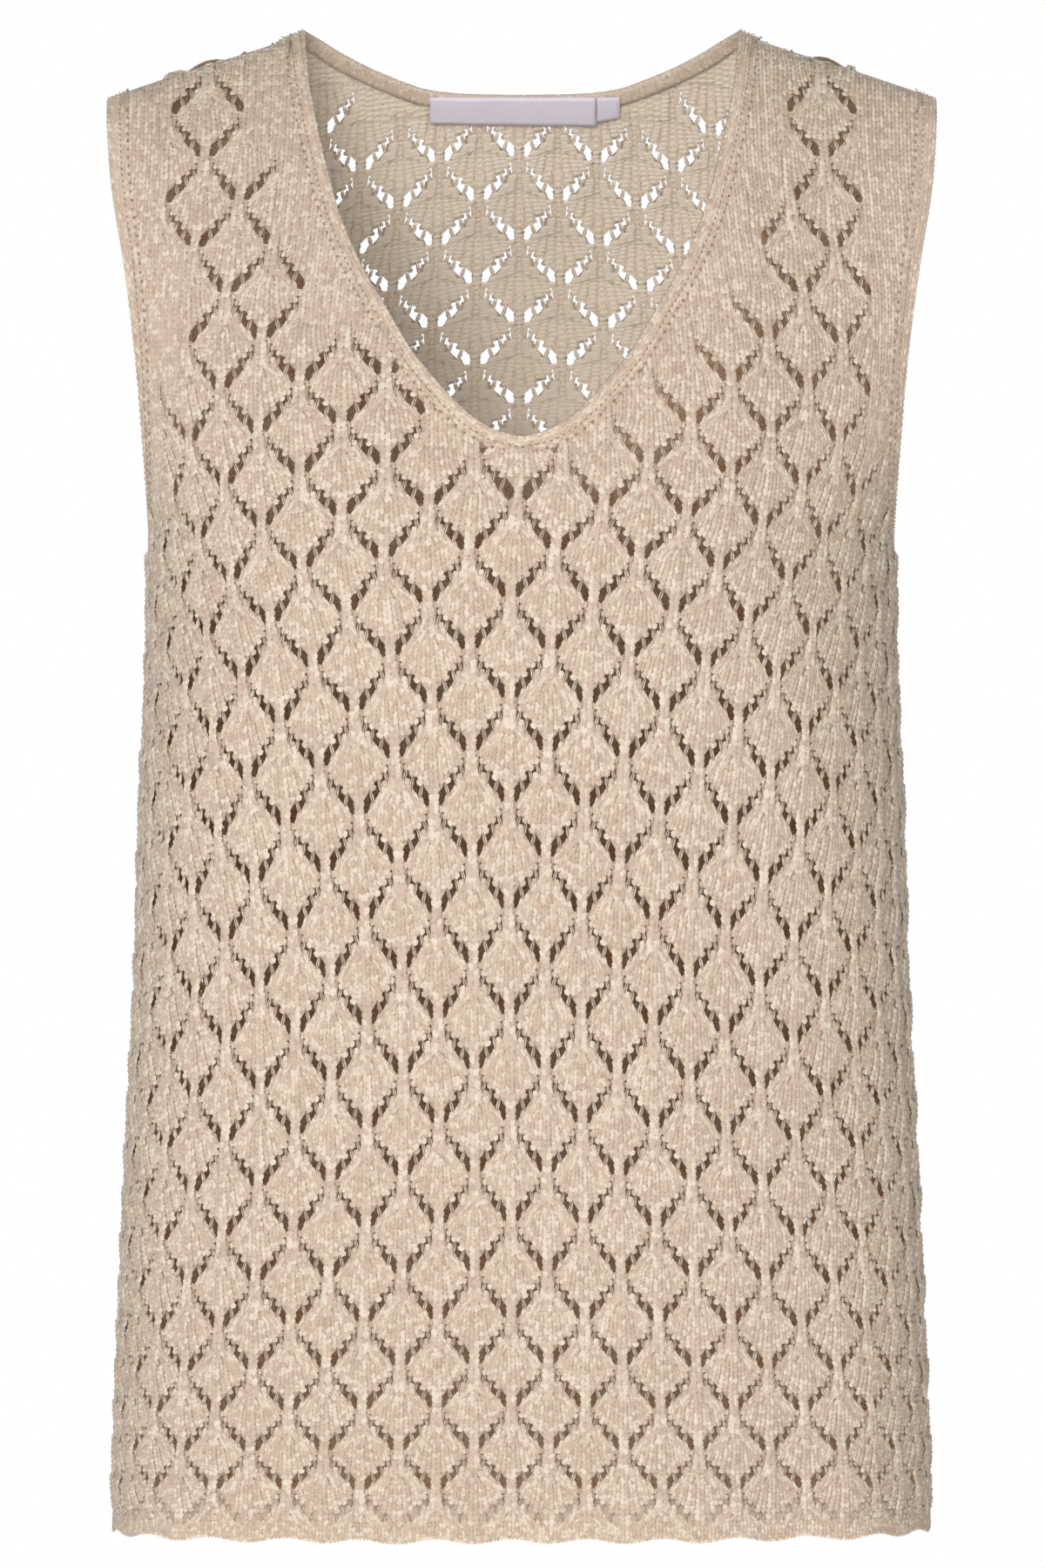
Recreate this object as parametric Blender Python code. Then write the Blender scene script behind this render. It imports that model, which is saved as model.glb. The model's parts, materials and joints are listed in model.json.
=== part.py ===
"""Sleeveless V-neck top in leaf lace knit, in its worn, hollow form.

Metres, +Z up, the front faces -Y and +X is the viewer's right. The origin is midway
between the two high points of the shoulders, where a wearer's shoulders carry the top.
"""
import bpy
import math
import numpy as np
from mathutils.geometry import delaunay_2d_cdt

MM = 0.001
GAP = 0.3 * MM              # space between two sewn pieces
WALL = 2.0 * MM             # knitted cloth, plain side to outer face
BODY_LENGTH = 0.594         # high point of the shoulder to the hem
UNDERARM_DROP = 0.204
SHOULDER_TIP_DROP = 0.0285
NECK_BAND = 7.6 * MM
ARM_BAND = 9.0 * MM
LEAF_COLUMNS = 14           # leaf columns from centre front to a side seam
ROWS_A_LEAF = 16
FIRST_TIP_ROW = 4           # the odd columns' first leaf tip, in rows above the cast-on edge
LEAF_RISE = 1.1 * MM        # middle of a leaf above the line of its eyelets
EYELET_OFFSET = 0.26        # eyelet centre from its leaf tip, in columns
EYELET_HALF = (0.115, 1.15) # half size of an eyelet, in columns and rows
EYELET_REACH = 8            # eyelets are cut in the even columns of the front up to here
EYELET_CLEAR = 12 * MM      # least cloth between an eyelet and the edge of its panel
NECK_GAP = (0, 172)         # leaf tip under the V, whose two gaps are wider and nearer the edge
NECK_GAP_SIZE = 1.5
NECK_GAP_CLEAR = 6 * MM
PLAIN_BY_NECK = 15 * MM
SCALLOP = 1.1 * MM          # waves of the hem, one a leaf
WALE_RISE = 0.6 * MM        # middle wale of a band above its edges
FOLD_EASE = 1.6             # how slowly a fold starts above the hem
SLOPE_STEP = 0.4 * MM       # distance over which the surface's slopes are taken
SHOULDER_INSET = 0.02 * MM  # the bands' ends lie this far under the shoulder line
ARM_TIP_SHARE = 0.95        # band width at the shoulder tip, as a share
NECK_TIP_SHARE = 1.15
NEAR_SEAM = 1.0 * MM        # a section of band shallower than this lies on the shoulder seam
LEAST_STEP = 0.9 * MM       # sections of band closer than this become one
POINT_CLEAR = 4.0 * MM      # form points stay this far inside a panel's edge
GAP_POINT_CLEAR = 1.2 * MM  # and this far from its eyelets
ARM_STEPS = 26
ARM_STEP_EASE = 1.15        # above 1, the armhole's points lie closer near the shoulder
NECK_STEPS = 18
SIDE_STEPS = 30
SHOULDER_STEPS = 8
QUARTER_STEPS = 121

# Body of a general figure: (drop, half width, front depth, back depth)
BODY = (
    (0.000, 0.1660, 0.0000, 0.0000),
    (0.001, 0.1660, 0.0080, 0.0070),
    (0.004, 0.1655, 0.0150, 0.0140),
    (0.012, 0.1650, 0.0250, 0.0240),
    (0.030, 0.1647, 0.0420, 0.0410),
    (0.060, 0.1628, 0.0620, 0.0640),
    (0.100, 0.1565, 0.0850, 0.0890),
    (0.150, 0.1505, 0.1070, 0.1080),
    (0.204, 0.1474, 0.1200, 0.1120),
    (0.250, 0.1478, 0.1220, 0.1070),
    (0.310, 0.1505, 0.1120, 0.0960),
    (0.370, 0.1522, 0.1000, 0.0880),
    (0.450, 0.1562, 0.0960, 0.0890),
    (0.530, 0.1596, 0.0970, 0.0930),
    (0.620, 0.1628, 0.1000, 0.0970),
)

# Shoulder line: (distance from the centre, drop)
SHOULDER = ((0.000, 0.0000), (0.078, 0.0000), (0.0865, 0.0012), (0.098, 0.0062), (0.130, 0.0163),
            (0.166, SHOULDER_TIP_DROP))

# Front neck edge: (half width, drop), from the shoulder to the point of the V
FRONT_NECK = ((0.0865, 0.0012), (0.0852, 0.0168), (0.0822, 0.0346), (0.0772, 0.0562), (0.0723, 0.0750),
              (0.0671, 0.0887), (0.0608, 0.1018), (0.0513, 0.1178), (0.0433, 0.1318), (0.0328, 0.1447),
              (0.0199, 0.1580), (0.0089, 0.1644), (0.0000, 0.1664))

# Back neck edge: (half width, drop)
BACK_NECK = ((0.0865, 0.0012), (0.0805, 0.0041), (0.0727, 0.0087), (0.0623, 0.0139), (0.0502, 0.0188),
             (0.0370, 0.0230), (0.0206, 0.0245), (0.0000, 0.0248))

# Rows of knitting above the cast-on edge: (row, drop at the centre of a panel)
ROWS = ((-8, 0.6060), (0, 0.5940), (4, 0.5868), (36, 0.5223), (68, 0.4472), (100, 0.3655),
        (132, 0.2833), (164, 0.2052), (196, 0.1305), (228, 0.0572), (256, -0.0050))

# How far the rows hang at the sixth column out: (drop, sag)
SAG = ((0.00, 0.0100), (0.14, 0.0112), (0.25, 0.0095), (0.37, 0.0080), (0.45, 0.0050), (0.60, 0.0000))

# How the front's sag grows outwards, as a power of the column: (drop, power)
SAG_POWER = ((0.00, 0.15), (0.09, 0.20), (0.13, 0.60), (0.17, 1.10), (0.24, 1.40), (0.36, 1.50), (0.60, 1.50))
BACK_SAG_POWER = 1.5

# How much wider the inner columns are than an even spacing: (drop, share)
SPREAD = ((0.00, -0.06), (0.05, -0.045), (0.085, 0.00), (0.12, 0.06), (0.16, 0.09), (0.19, 0.08),
          (0.27, -0.05), (0.40, -0.07), (0.60, -0.045))

# Middle column of the front's leaves: (drop, across)
FRONT_CENTRE = ((0.00, -0.0010), (0.18, -0.0010), (0.22, -0.0042), (0.36, -0.0050), (0.45, -0.0042),
                (0.60, -0.0040))

# Width of a panel's lace on either side of its centre: (drop, half width)
LACE_LIMIT = ((0.0, 0.136), (0.093, 0.136), (0.19, 0.142), (0.215, 0.30))

# Slow folds up from the hem: (panel, place across, half width, depth, height)
FOLDS = (
    ("front", -0.088, 0.020, -0.0040, 0.130),
    ("front", -0.055, 0.018, 0.0030, 0.150),
    ("front", 0.012, 0.026, -0.0026, 0.110),
    ("front", 0.105, 0.022, -0.0036, 0.140),
    ("front", 0.138, 0.016, 0.0028, 0.120),
    ("back", -0.110, 0.022, -0.0036, 0.130),
    ("back", -0.040, 0.026, 0.0030, 0.150),
    ("back", 0.050, 0.024, -0.0034, 0.120),
    ("back", 0.120, 0.020, 0.0028, 0.140),
)

PANELS = {
    # corner exponents of the plan section, left and right, and the depth of the armhole edge
    "front": {"facing": -1.0, "depth_column": 2, "corner": (2.9, 2.3), "armhole": 0.64},
    "back": {"facing": 1.0, "depth_column": 3, "corner": (2.4, 2.4), "armhole": 0.60},
}

# Linear base colours: beige cotton yarn and pale lavender ribbon
COTTON = (0.552, 0.430, 0.320)
RIBBON = (0.640, 0.600, 0.680)
YARN_ROUGHNESS = 0.9
RIBBON_ROUGHNESS = 0.55
SHARP_EDGE = math.radians(48)


def smooth_lookup(table, x, column=1):
    """Read a table with a curve that passes through its rows and never overshoots them."""
    px = np.array([row[0] for row in table], dtype=float)
    py = np.array([row[column] for row in table], dtype=float)
    step = np.diff(px)
    slope = np.diff(py) / step
    tangent = np.zeros(len(px))
    tangent[0] = slope[0]
    tangent[-1] = slope[-1]
    for i in range(1, len(px) - 1):
        if slope[i - 1] * slope[i] > 0.0:
            w1 = 2.0 * step[i] + step[i - 1]
            w2 = step[i] + 2.0 * step[i - 1]
            tangent[i] = (w1 + w2) / (w1 / slope[i - 1] + w2 / slope[i])
    x = np.clip(np.asarray(x, dtype=float), px[0], px[-1])
    k = np.clip(np.searchsorted(px, x, side="right") - 1, 0, len(px) - 2)
    s = (x - px[k]) / step[k]
    return (py[k] * (1 + 2 * s) * (1 - s) ** 2 + step[k] * tangent[k] * s * (1 - s) ** 2
            + py[k + 1] * s * s * (3 - 2 * s) + step[k] * tangent[k + 1] * s * s * (s - 1))


def shoulder_drop(x):
    return smooth_lookup(SHOULDER, np.abs(x))


def armhole_ratio(panel, drop):
    """Depth of the armhole edge over the panel's depth at that height, 0 at the underarm."""
    span = (np.asarray(drop, dtype=float) - SHOULDER_TIP_DROP) / (UNDERARM_DROP - SHOULDER_TIP_DROP)
    span = np.clip(span, 0.0, 1.0)
    return PANELS[panel]["armhole"] * np.sqrt(1.0 - span ** 3)


def section(panel, side, drop):
    """Half width, depth and corner exponent of the plan section on one side (-1 or 1)."""
    corner = PANELS[panel]["corner"]
    power = np.where(np.asarray(side) < 0, corner[0], corner[1])
    edge = smooth_lookup(BODY, drop, 1)
    width = edge / (1.0 - armhole_ratio(panel, drop) ** power) ** (1.0 / power)
    depth = smooth_lookup(BODY, drop, PANELS[panel]["depth_column"])
    return width, depth, power


QUARTER_TURN = np.linspace(0.0, math.pi / 2, QUARTER_STEPS)


def quarter_curve(width, depth, power):
    """One quarter of a plan section from the centre to the side: x, share of depth, length."""
    flat = np.clip(np.cos(QUARTER_TURN), 0.0, 1.0)[None, :] ** (2.0 / power[:, None])
    x = width[:, None] * np.sin(QUARTER_TURN)[None, :] ** (2.0 / power[:, None])
    length = np.zeros_like(x)
    steps = np.hypot(np.diff(x, axis=1), np.diff(flat * depth[:, None], axis=1))
    length[:, 1:] = np.cumsum(steps, axis=1)
    return x, flat, length


def row_interp(value, knots, result):
    out = np.empty(len(value))
    for i in range(len(value)):
        out[i] = np.interp(value[i], knots[i], result[i])
    return out


def fold_height(panel, across, drop):
    total = np.zeros(len(across))
    for owner, place, half, depth, height in FOLDS:
        if owner == panel:
            rise = np.clip((drop - (BODY_LENGTH - height)) / height, 0.0, 1.0)
            total += depth * np.exp(-((across - place) / half) ** 2) * rise ** FOLD_EASE
    return total


def surface(panel, across, drop):
    """Outer face of a panel: across is measured along the cloth from the centre line."""
    across = np.asarray(across, dtype=float)
    drop = np.asarray(drop, dtype=float)
    side = np.where(across < 0, -1.0, 1.0)
    width, depth, power = section(panel, side, drop)
    xs, shares, lengths = quarter_curve(width, depth, power)
    x = row_interp(np.abs(across), lengths, xs)
    share = row_interp(np.abs(across), lengths, shares)
    local = smooth_lookup(BODY, drop - shoulder_drop(x), PANELS[panel]["depth_column"])
    y = local * share
    across_pull = (x / width) ** (power - 1) / width
    depth_pull = share ** (power - 1) / np.maximum(depth, 1e-4)
    size = np.hypot(across_pull, depth_pull)
    fold = fold_height(panel, across, drop)
    x = x + fold * across_pull / size
    y = y + fold * depth_pull / size
    return np.stack([side * x, PANELS[panel]["facing"] * y, -drop], axis=1)


def slopes(panel, across, drop):
    """How the surface moves with a step across and with a step down."""
    h = SLOPE_STEP
    du = (surface(panel, across + h, drop) - surface(panel, across - h, drop)) / (2 * h)
    dv = (surface(panel, across, drop + h) - surface(panel, across, drop - h)) / (2 * h)
    return du, dv


def outward(panel, across, drop):
    """Unit normals of the outer face."""
    du, dv = slopes(panel, across, drop)
    n = np.cross(du, -dv) * -PANELS[panel]["facing"]
    return n / np.linalg.norm(n, axis=1)[:, None]


def side_length(panel, side, drop):
    """Length of cloth from the centre line to the side seam."""
    drop = np.atleast_1d(np.asarray(drop, dtype=float))
    width, depth, power = section(panel, np.full(len(drop), side), np.maximum(drop, UNDERARM_DROP))
    return quarter_curve(width, depth, power)[2][:, -1]


def across_at(panel, x, drop):
    """Length of cloth from the centre line to a point seen at x."""
    x = np.asarray(x, dtype=float)
    drop = np.asarray(drop, dtype=float)
    width, depth, power = section(panel, np.where(x < 0, -1.0, 1.0), drop)
    xs, shares, lengths = quarter_curve(width, depth, power)
    return np.sign(x) * row_interp(np.abs(x), xs, lengths)


def lattice_point(panel, column, row):
    """Place of a knitted column and row in a panel: across, drop."""
    column = np.asarray(column, dtype=float)
    front = panel == "front"
    drop = smooth_lookup(ROWS, row)
    power = smooth_lookup(SAG_POWER, drop) if front else BACK_SAG_POWER
    drop = drop + smooth_lookup(SAG, drop) * np.minimum(np.abs(column) / 6.0, 2.0) ** power
    centre = smooth_lookup(FRONT_CENTRE, drop) if front else np.zeros_like(drop)
    spread = smooth_lookup(SPREAD, drop)
    u = np.abs(column) / LEAF_COLUMNS
    share = u + spread * u * (1.0 - u * u)
    left = side_length(panel, -1.0, drop) + centre
    right = side_length(panel, 1.0, drop) - centre
    return centre + np.where(column < 0, -left, right) * share, drop


def armhole_edge(panel, side):
    """Outer edge and seam of the armhole band in a panel, from the shoulder to the underarm."""
    s = np.sin(np.linspace(0.0, math.pi / 2, ARM_STEPS + 1)) ** ARM_STEP_EASE
    drop = SHOULDER_TIP_DROP + (UNDERARM_DROP - SHOULDER_TIP_DROP) * s
    drop[0] += SHOULDER_INSET
    x = side * smooth_lookup(BODY, drop, 1)
    edge = np.stack([across_at(panel, x, drop), drop], axis=1)
    edge[-1, 0] = side * side_length(panel, side, drop[-1])[0]
    seam = step_along(panel, edge, ARM_BAND, -side)
    tip_x = abs(surface(panel, edge[:1, 0], edge[:1, 1])[0, 0]) - ARM_BAND * ARM_TIP_SHARE
    seam[0] = (across_at(panel, [side * tip_x], shoulder_drop([tip_x]))[0], shoulder_drop([tip_x])[0])
    end = UNDERARM_DROP + ARM_BAND
    seam[-1] = (side * side_length(panel, side, end)[0], end)
    return edge, seam


def step_along(panel, points, distance, turn):
    """Move a line of (across, drop) points sideways over the cloth by a real distance."""
    p = surface(panel, points[:, 0], points[:, 1])
    n = outward(panel, points[:, 0], points[:, 1])
    run = np.gradient(p, axis=0)
    run /= np.linalg.norm(run, axis=1)[:, None]
    go = np.cross(n, run) * turn * -PANELS[panel]["facing"]
    du, dv = slopes(panel, points[:, 0], points[:, 1])
    moved = points.copy()
    for i in range(len(points)):
        jac = np.stack([du[i], dv[i]], axis=1)
        moved[i] += np.linalg.lstsq(jac, go[i] * distance, rcond=None)[0]
    return moved


def neck_edge(panel, side):
    """Outer edge and seam of the neckband in a panel, from the shoulder to the centre."""
    table = np.array(FRONT_NECK if panel == "front" else BACK_NECK)
    run = np.concatenate([[0.0], np.cumsum(np.hypot(*np.diff(table, axis=0).T))])
    t = np.linspace(0.0, run[-1], NECK_STEPS + 1)
    x = side * smooth_lookup(np.stack([run, table[:, 0]], axis=1), t)
    drop = smooth_lookup(np.stack([run, table[:, 1]], axis=1), t)
    drop[0] = shoulder_drop(x[0]) + SHOULDER_INSET
    edge = np.stack([across_at(panel, x, drop), drop], axis=1)
    seam = step_along(panel, edge, NECK_BAND, side)
    seam_x = abs(x[0]) + NECK_BAND * NECK_TIP_SHARE
    seam[0] = (across_at(panel, [side * seam_x], shoulder_drop([seam_x]))[0], shoulder_drop([seam_x])[0])
    seam[-1, 0] = 0.0
    return edge, seam


def between(edge, seam, width, shift):
    """Points beside the seam: shift is measured from the seam towards the edge."""
    return seam + (edge - seam) * (shift / width)


def placed(panel, flat, rise, seam_at=()):
    """Outer face points of a panel, raised, with the rows in seam_at kept square to a seam."""
    p = surface(panel, flat[:, 0], flat[:, 1])
    n = outward(panel, flat[:, 0], flat[:, 1])
    for i in seam_at:
        n[i, 1] = 0.0
        n[i] /= np.linalg.norm(n[i])
    return p + n * np.asarray(rise)[:, None], p - n * WALL


def band_ring(name, parts, width, material):
    """Closed ring of band from its (panel, edge, seam) stretches, with a raised middle wale."""
    sections = []
    for panel, edge, seam in parts:
        near_seam = between(edge, seam, width, GAP / 2)
        middle = 0.5 * (edge + near_seam)
        depth = np.abs(surface(panel, edge[:, 0], edge[:, 1])[:, 1])
        on_seam = [i for i in (0, len(edge) - 1) if depth[i] < NEAR_SEAM]
        rims = [placed(panel, line, np.full(len(line), rise), on_seam)
                for line, rise in ((near_seam, 0.0), (middle, WALE_RISE), (edge, 0.0))]
        for i in range(len(edge)):
            sections.append([rims[0][0][i], rims[1][0][i], rims[2][0][i], rims[2][1][i], rims[0][1][i]])
    rows = []
    for now in sections:
        if rows and np.linalg.norm(np.array(now) - np.array(rows[-1]), axis=1).max() < LEAST_STEP:
            rows[-1] = [(a + b) / 2 for a, b in zip(rows[-1], now)]
        else:
            rows.append(now)
    if np.linalg.norm(np.array(rows[0]) - np.array(rows[-1]), axis=1).max() < LEAST_STEP:
        rows[0] = [(a + b) / 2 for a, b in zip(rows[0], rows.pop())]
    count, ring = len(rows), len(rows[0])
    points = [tuple(p) for row in rows for p in row]
    faces = []
    for i in range(count):
        j = (i + 1) % count
        for k in range(ring):
            m = (k + 1) % ring
            faces.append((i * ring + k, j * ring + k, j * ring + m, i * ring + m))
    return add_piece(name, points, faces, material)


def add_piece(name, points, faces, material):
    """Make a closed piece with its faces pointing out."""
    mesh = bpy.data.meshes.new(name)
    mesh.from_pydata(points, [], faces)
    mesh.update()
    volume = 0.0
    for tri in mesh.loop_triangles:
        a, b, c = (mesh.vertices[i].co for i in tri.vertices)
        volume += a.dot(b.cross(c))
    if volume < 0.0:
        mesh.flip_normals()
    mesh.shade_smooth()
    mesh.set_sharp_from_angle(angle=SHARP_EDGE)
    mesh.materials.append(material)
    piece = bpy.data.objects.new(name, mesh)
    bpy.context.scene.collection.objects.link(piece)
    return piece


def make_material(name, colour, roughness):
    material = bpy.data.materials.new(name)
    material.use_nodes = True
    shader = material.node_tree.nodes["Principled BSDF"]
    shader.inputs["Base Color"].default_value = (*colour, 1.0)
    shader.inputs["Roughness"].default_value = roughness
    shader.inputs["Metallic"].default_value = 0.0
    return material


def away_from(points, line, closed=False):
    """Distance of each flat point from a polyline."""
    a = line[:-1]
    b = line[1:]
    if closed:
        a = line
        b = np.roll(line, -1, axis=0)
    best = np.full(len(points), 1e9)
    for p, q in zip(a, b):
        d = q - p
        t = np.clip(((points - p) @ d) / max(d @ d, 1e-12), 0.0, 1.0)
        best = np.minimum(best, np.linalg.norm(points - p - t[:, None] * d, axis=1))
    return best


def panel_outline(panel):
    """Cut edge of a panel as flat (across, drop) points, counter-clockwise from the hem."""
    hem_columns = np.arange(-LEAF_COLUMNS, LEAF_COLUMNS + 0.01, 0.5)
    across, drop = lattice_point(panel, hem_columns, np.zeros(len(hem_columns)))
    drop = BODY_LENGTH - SCALLOP * np.cos(math.pi * hem_columns)
    across[0] = -side_length(panel, -1.0, drop[0])[0]
    across[-1] = side_length(panel, 1.0, drop[-1])[0]
    hem = np.stack([across, drop], axis=1)
    lines = {}
    for side, name in ((1.0, "right"), (-1.0, "left")):
        edge, seam = armhole_edge(panel, side)
        arm = between(edge, seam, ARM_BAND, -GAP / 2)
        edge, seam = neck_edge(panel, side)
        neck = between(edge, seam, NECK_BAND, -GAP / 2)
        side_drop = np.linspace(BODY_LENGTH, arm[-1, 1], SIDE_STEPS)[1:-1]
        seam_side = np.stack([side * side_length(panel, side, side_drop), side_drop], axis=1)
        arm[-1, 0] = side * side_length(panel, side, arm[-1, 1])[0]
        x0 = abs(surface(panel, arm[:1, 0], arm[:1, 1])[0, 0])
        x1 = abs(surface(panel, neck[:1, 0], neck[:1, 1])[0, 0])
        x = np.linspace(x0, x1, SHOULDER_STEPS)[1:-1]
        top = np.stack([across_at(panel, side * x, shoulder_drop(x)), shoulder_drop(x)], axis=1)
        lines[name] = {"side": seam_side, "arm": arm[::-1], "top": top, "neck": neck}
    right, left = lines["right"], lines["left"]
    chain = [hem, right["side"], right["arm"], right["top"], right["neck"], left["neck"][::-1][1:],
             left["top"][::-1], left["arm"][::-1], left["side"][::-1]]
    return chain, np.concatenate([right["neck"], left["neck"][::-1]])


def leaves(panel):
    """Leaf tips of a panel as (column, row)."""
    for column in range(-LEAF_COLUMNS + 1, LEAF_COLUMNS):
        first = FIRST_TIP_ROW + (0 if column % 2 else ROWS_A_LEAF // 2)
        for row in range(first - ROWS_A_LEAF, ROWS[-1][0], ROWS_A_LEAF):
            yield column, row


def is_lace(panel, flat, neck_line):
    """True where a flat point lies in the leaf lace and not in the plain edges."""
    x = np.abs(surface(panel, flat[:, 0], flat[:, 1])[:, 0])
    return (x < smooth_lookup(LACE_LIMIT, flat[:, 1])) & (away_from(flat, neck_line) > PLAIN_BY_NECK)


def triangles(flat, loops):
    """Triangles inside the first loop and outside the others."""
    coords = [(1000 * p[0], -1000 * p[1]) for p in flat]
    edges = [(loop[i], loop[(i + 1) % len(loop)]) for loop in loops for i in range(len(loop))]
    result = delaunay_2d_cdt(coords, edges, [list(loop) for loop in loops], 1, 1e-5)
    verts, faces, from_verts, from_faces = result[0], result[2], result[3], result[5]
    if len(verts) != len(flat):
        raise RuntimeError("panel edges cross")
    name = [origin[0] for origin in from_verts]
    kept = []
    for face, origin in zip(faces, from_faces):
        if 0 in origin and len(origin) == 1:
            a, b, c = (verts[i] for i in face)
            turned = (b - a).cross(c - a) < 0.0
            face = [name[i] for i in face]
            kept.append(face[::-1] if turned else face)
    return kept


def eyelet_pair(panel, column, row):
    """The two diamond eyelets beside a leaf tip."""
    size = NECK_GAP_SIZE if (column, row) == NECK_GAP else 1.0
    half_across, half_rows = np.array(EYELET_HALF) * size
    pair = []
    for side in (-1, 1):
        c = column + side * EYELET_OFFSET
        corner = [(c - half_across, row), (c, row - half_rows), (c + half_across, row), (c, row + half_rows)]
        pair.append(np.stack(lattice_point(panel, *np.array(corner).T), axis=1))
    return pair


def takes_eyelets(panel, column, row, pair, outline, neck_line):
    """True where a leaf's pair of eyelets lies well inside the lace."""
    both = np.concatenate(pair)
    from_edge = away_from(both, outline, True).min()
    if (column, row) == NECK_GAP:
        return from_edge > NECK_GAP_CLEAR
    inside = both[:, 1].max() < BODY_LENGTH - EYELET_CLEAR and from_edge > EYELET_CLEAR
    return inside and is_lace(panel, both, neck_line).all() and within(both[:1], outline)[0]


def make_panel(panel, material):
    chain, neck_line = panel_outline(panel)
    outline = np.concatenate(chain)
    ends = np.cumsum([len(part) for part in chain])
    side_rows = {0, ends[0] - 1, *range(ends[0], ends[1] + 1), *range(ends[7] - 1, ends[8])}
    top_rows = {*range(ends[2] - 1, ends[3] + 1), *range(ends[5] - 1, ends[6] + 1)}
    flat = [tuple(p) for p in outline]
    loops = [list(range(len(flat)))]
    rise = [0.0] * len(flat)
    if panel == "front":
        for column, row in leaves(panel):
            if column % 2 or abs(column) > EYELET_REACH:
                continue
            pair = eyelet_pair(panel, column, row)
            if takes_eyelets(panel, column, row, pair, outline, neck_line):
                for hole in pair:
                    loops.append(list(range(len(flat), len(flat) + 4)))
                    flat += [tuple(p) for p in hole]
                    rise += [0.0] * 4
    fixed = np.array(flat)
    outer_extra, outer_rise, inner_extra = [], [], []
    for column, row in leaves(panel):
        spots = ((0.0, 0, 0.0), (0.0, 8, LEAF_RISE), (0.5, 4, 0.0), (0.5, 12, 0.0))
        for shift, up, height in spots:
            across, drop = lattice_point(panel, [column + shift], [row + up])
            outer_extra.append((across[0], drop[0]))
            outer_rise.append(height)
            inner_extra.append(shift == 0.0 and up == 0)
    outer_extra = np.array(outer_extra)
    outer_rise = np.array(outer_rise)
    inner_extra = np.array(inner_extra)
    keep = within(outer_extra, outline)
    keep &= away_from(outer_extra, outline, True) > POINT_CLEAR
    for loop in loops[1:]:
        keep &= away_from(outer_extra, fixed[loop], True) > GAP_POINT_CLEAR
    lace = is_lace(panel, outer_extra, neck_line)
    outer_rise = np.where(lace, outer_rise, 0.0)
    outer_rise, inner_extra, outer_extra = outer_rise[keep], inner_extra[keep], outer_extra[keep]
    outer_flat = np.concatenate([fixed, outer_extra])
    inner_flat = np.concatenate([fixed, outer_extra[inner_extra]])
    seam_rows = side_rows | top_rows
    outer = placed(panel, outer_flat, np.concatenate([rise, outer_rise]), seam_rows)[0]
    inner = placed(panel, inner_flat, np.zeros(len(inner_flat)), seam_rows)[1]
    facing = PANELS[panel]["facing"]
    for i in seam_rows:
        outer[i, 1] = facing * GAP / 2
        inner[i, 1] = facing * GAP / 2
    outer_tris = triangles(outer_flat, loops)
    inner_tris = triangles(inner_flat, loops)
    base = len(outer)
    faces = [tuple(t) for t in outer_tris] + [tuple(i + base for i in t[::-1]) for t in inner_tris]
    for k, loop in enumerate(loops):
        forward = loop if signed_area(fixed[loop]) > 0 else loop[::-1]
        if k:
            forward = forward[::-1]
        for i, a in enumerate(forward):
            b = forward[(i + 1) % len(forward)]
            faces.append((b, a, a + base, b + base))
    points = [tuple(p) for p in outer] + [tuple(p) for p in inner]
    return add_piece(panel + "_panel", points, faces, material)


def signed_area(loop):
    x, y = loop[:, 0], -loop[:, 1]
    return 0.5 * float(np.sum(x * np.roll(y, -1) - np.roll(x, -1) * y))


def within(points, outline):
    """True for the flat points inside a closed outline."""
    inside = np.zeros(len(points), dtype=bool)
    x, y = points[:, 0], points[:, 1]
    for (x0, y0), (x1, y1) in zip(outline, np.roll(outline, -1, axis=0)):
        if y0 == y1:
            continue
        crosses = (y0 > y) != (y1 > y)
        inside ^= crosses & (x < (x1 - x0) * (y - y0) / (y1 - y0) + x0)
    return inside


# Labels inside the back neck: name, from, to, top drop, height, thickness, points along it
LABELS = (
    ("neck_label", -0.0368, 0.0297, 0.0246, 0.0102, 0.6 * MM, 10),
    ("size_tab", 0.0301, 0.0394, 0.0246, 0.0096, 0.5 * MM, 3),
)


def make_label(name, x0, x1, top, height, thick, steps, material):
    """Thin plate that follows the plain side of the back, just off the cloth."""
    grid = []
    for drop in (top, top + height / 2, top + height):
        x = np.linspace(x0, x1, steps)
        across = across_at("back", x, np.full(steps, drop))
        p = surface("back", across, np.full(steps, drop))
        n = outward("back", across, np.full(steps, drop))
        grid.append((p - n * (WALL + GAP), p - n * (WALL + GAP + thick)))
    points = [tuple(v) for layer in (0, 1) for row in grid for v in row[layer]]
    half = 3 * steps
    faces = []
    for r in range(2):
        for c in range(steps - 1):
            a = r * steps + c
            faces.append((a, a + 1, a + steps + 1, a + steps))
            faces.append((half + a, half + a + steps, half + a + steps + 1, half + a + 1))
    rim = ([*range(steps)] + [steps * r + steps - 1 for r in (1, 2)]
           + [2 * steps + c for c in range(steps - 2, -1, -1)] + [steps])
    for i, a in enumerate(rim):
        b = rim[(i + 1) % len(rim)]
        faces.append((b, a, a + half, b + half))
    return add_piece(name, points, faces, material)


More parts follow.
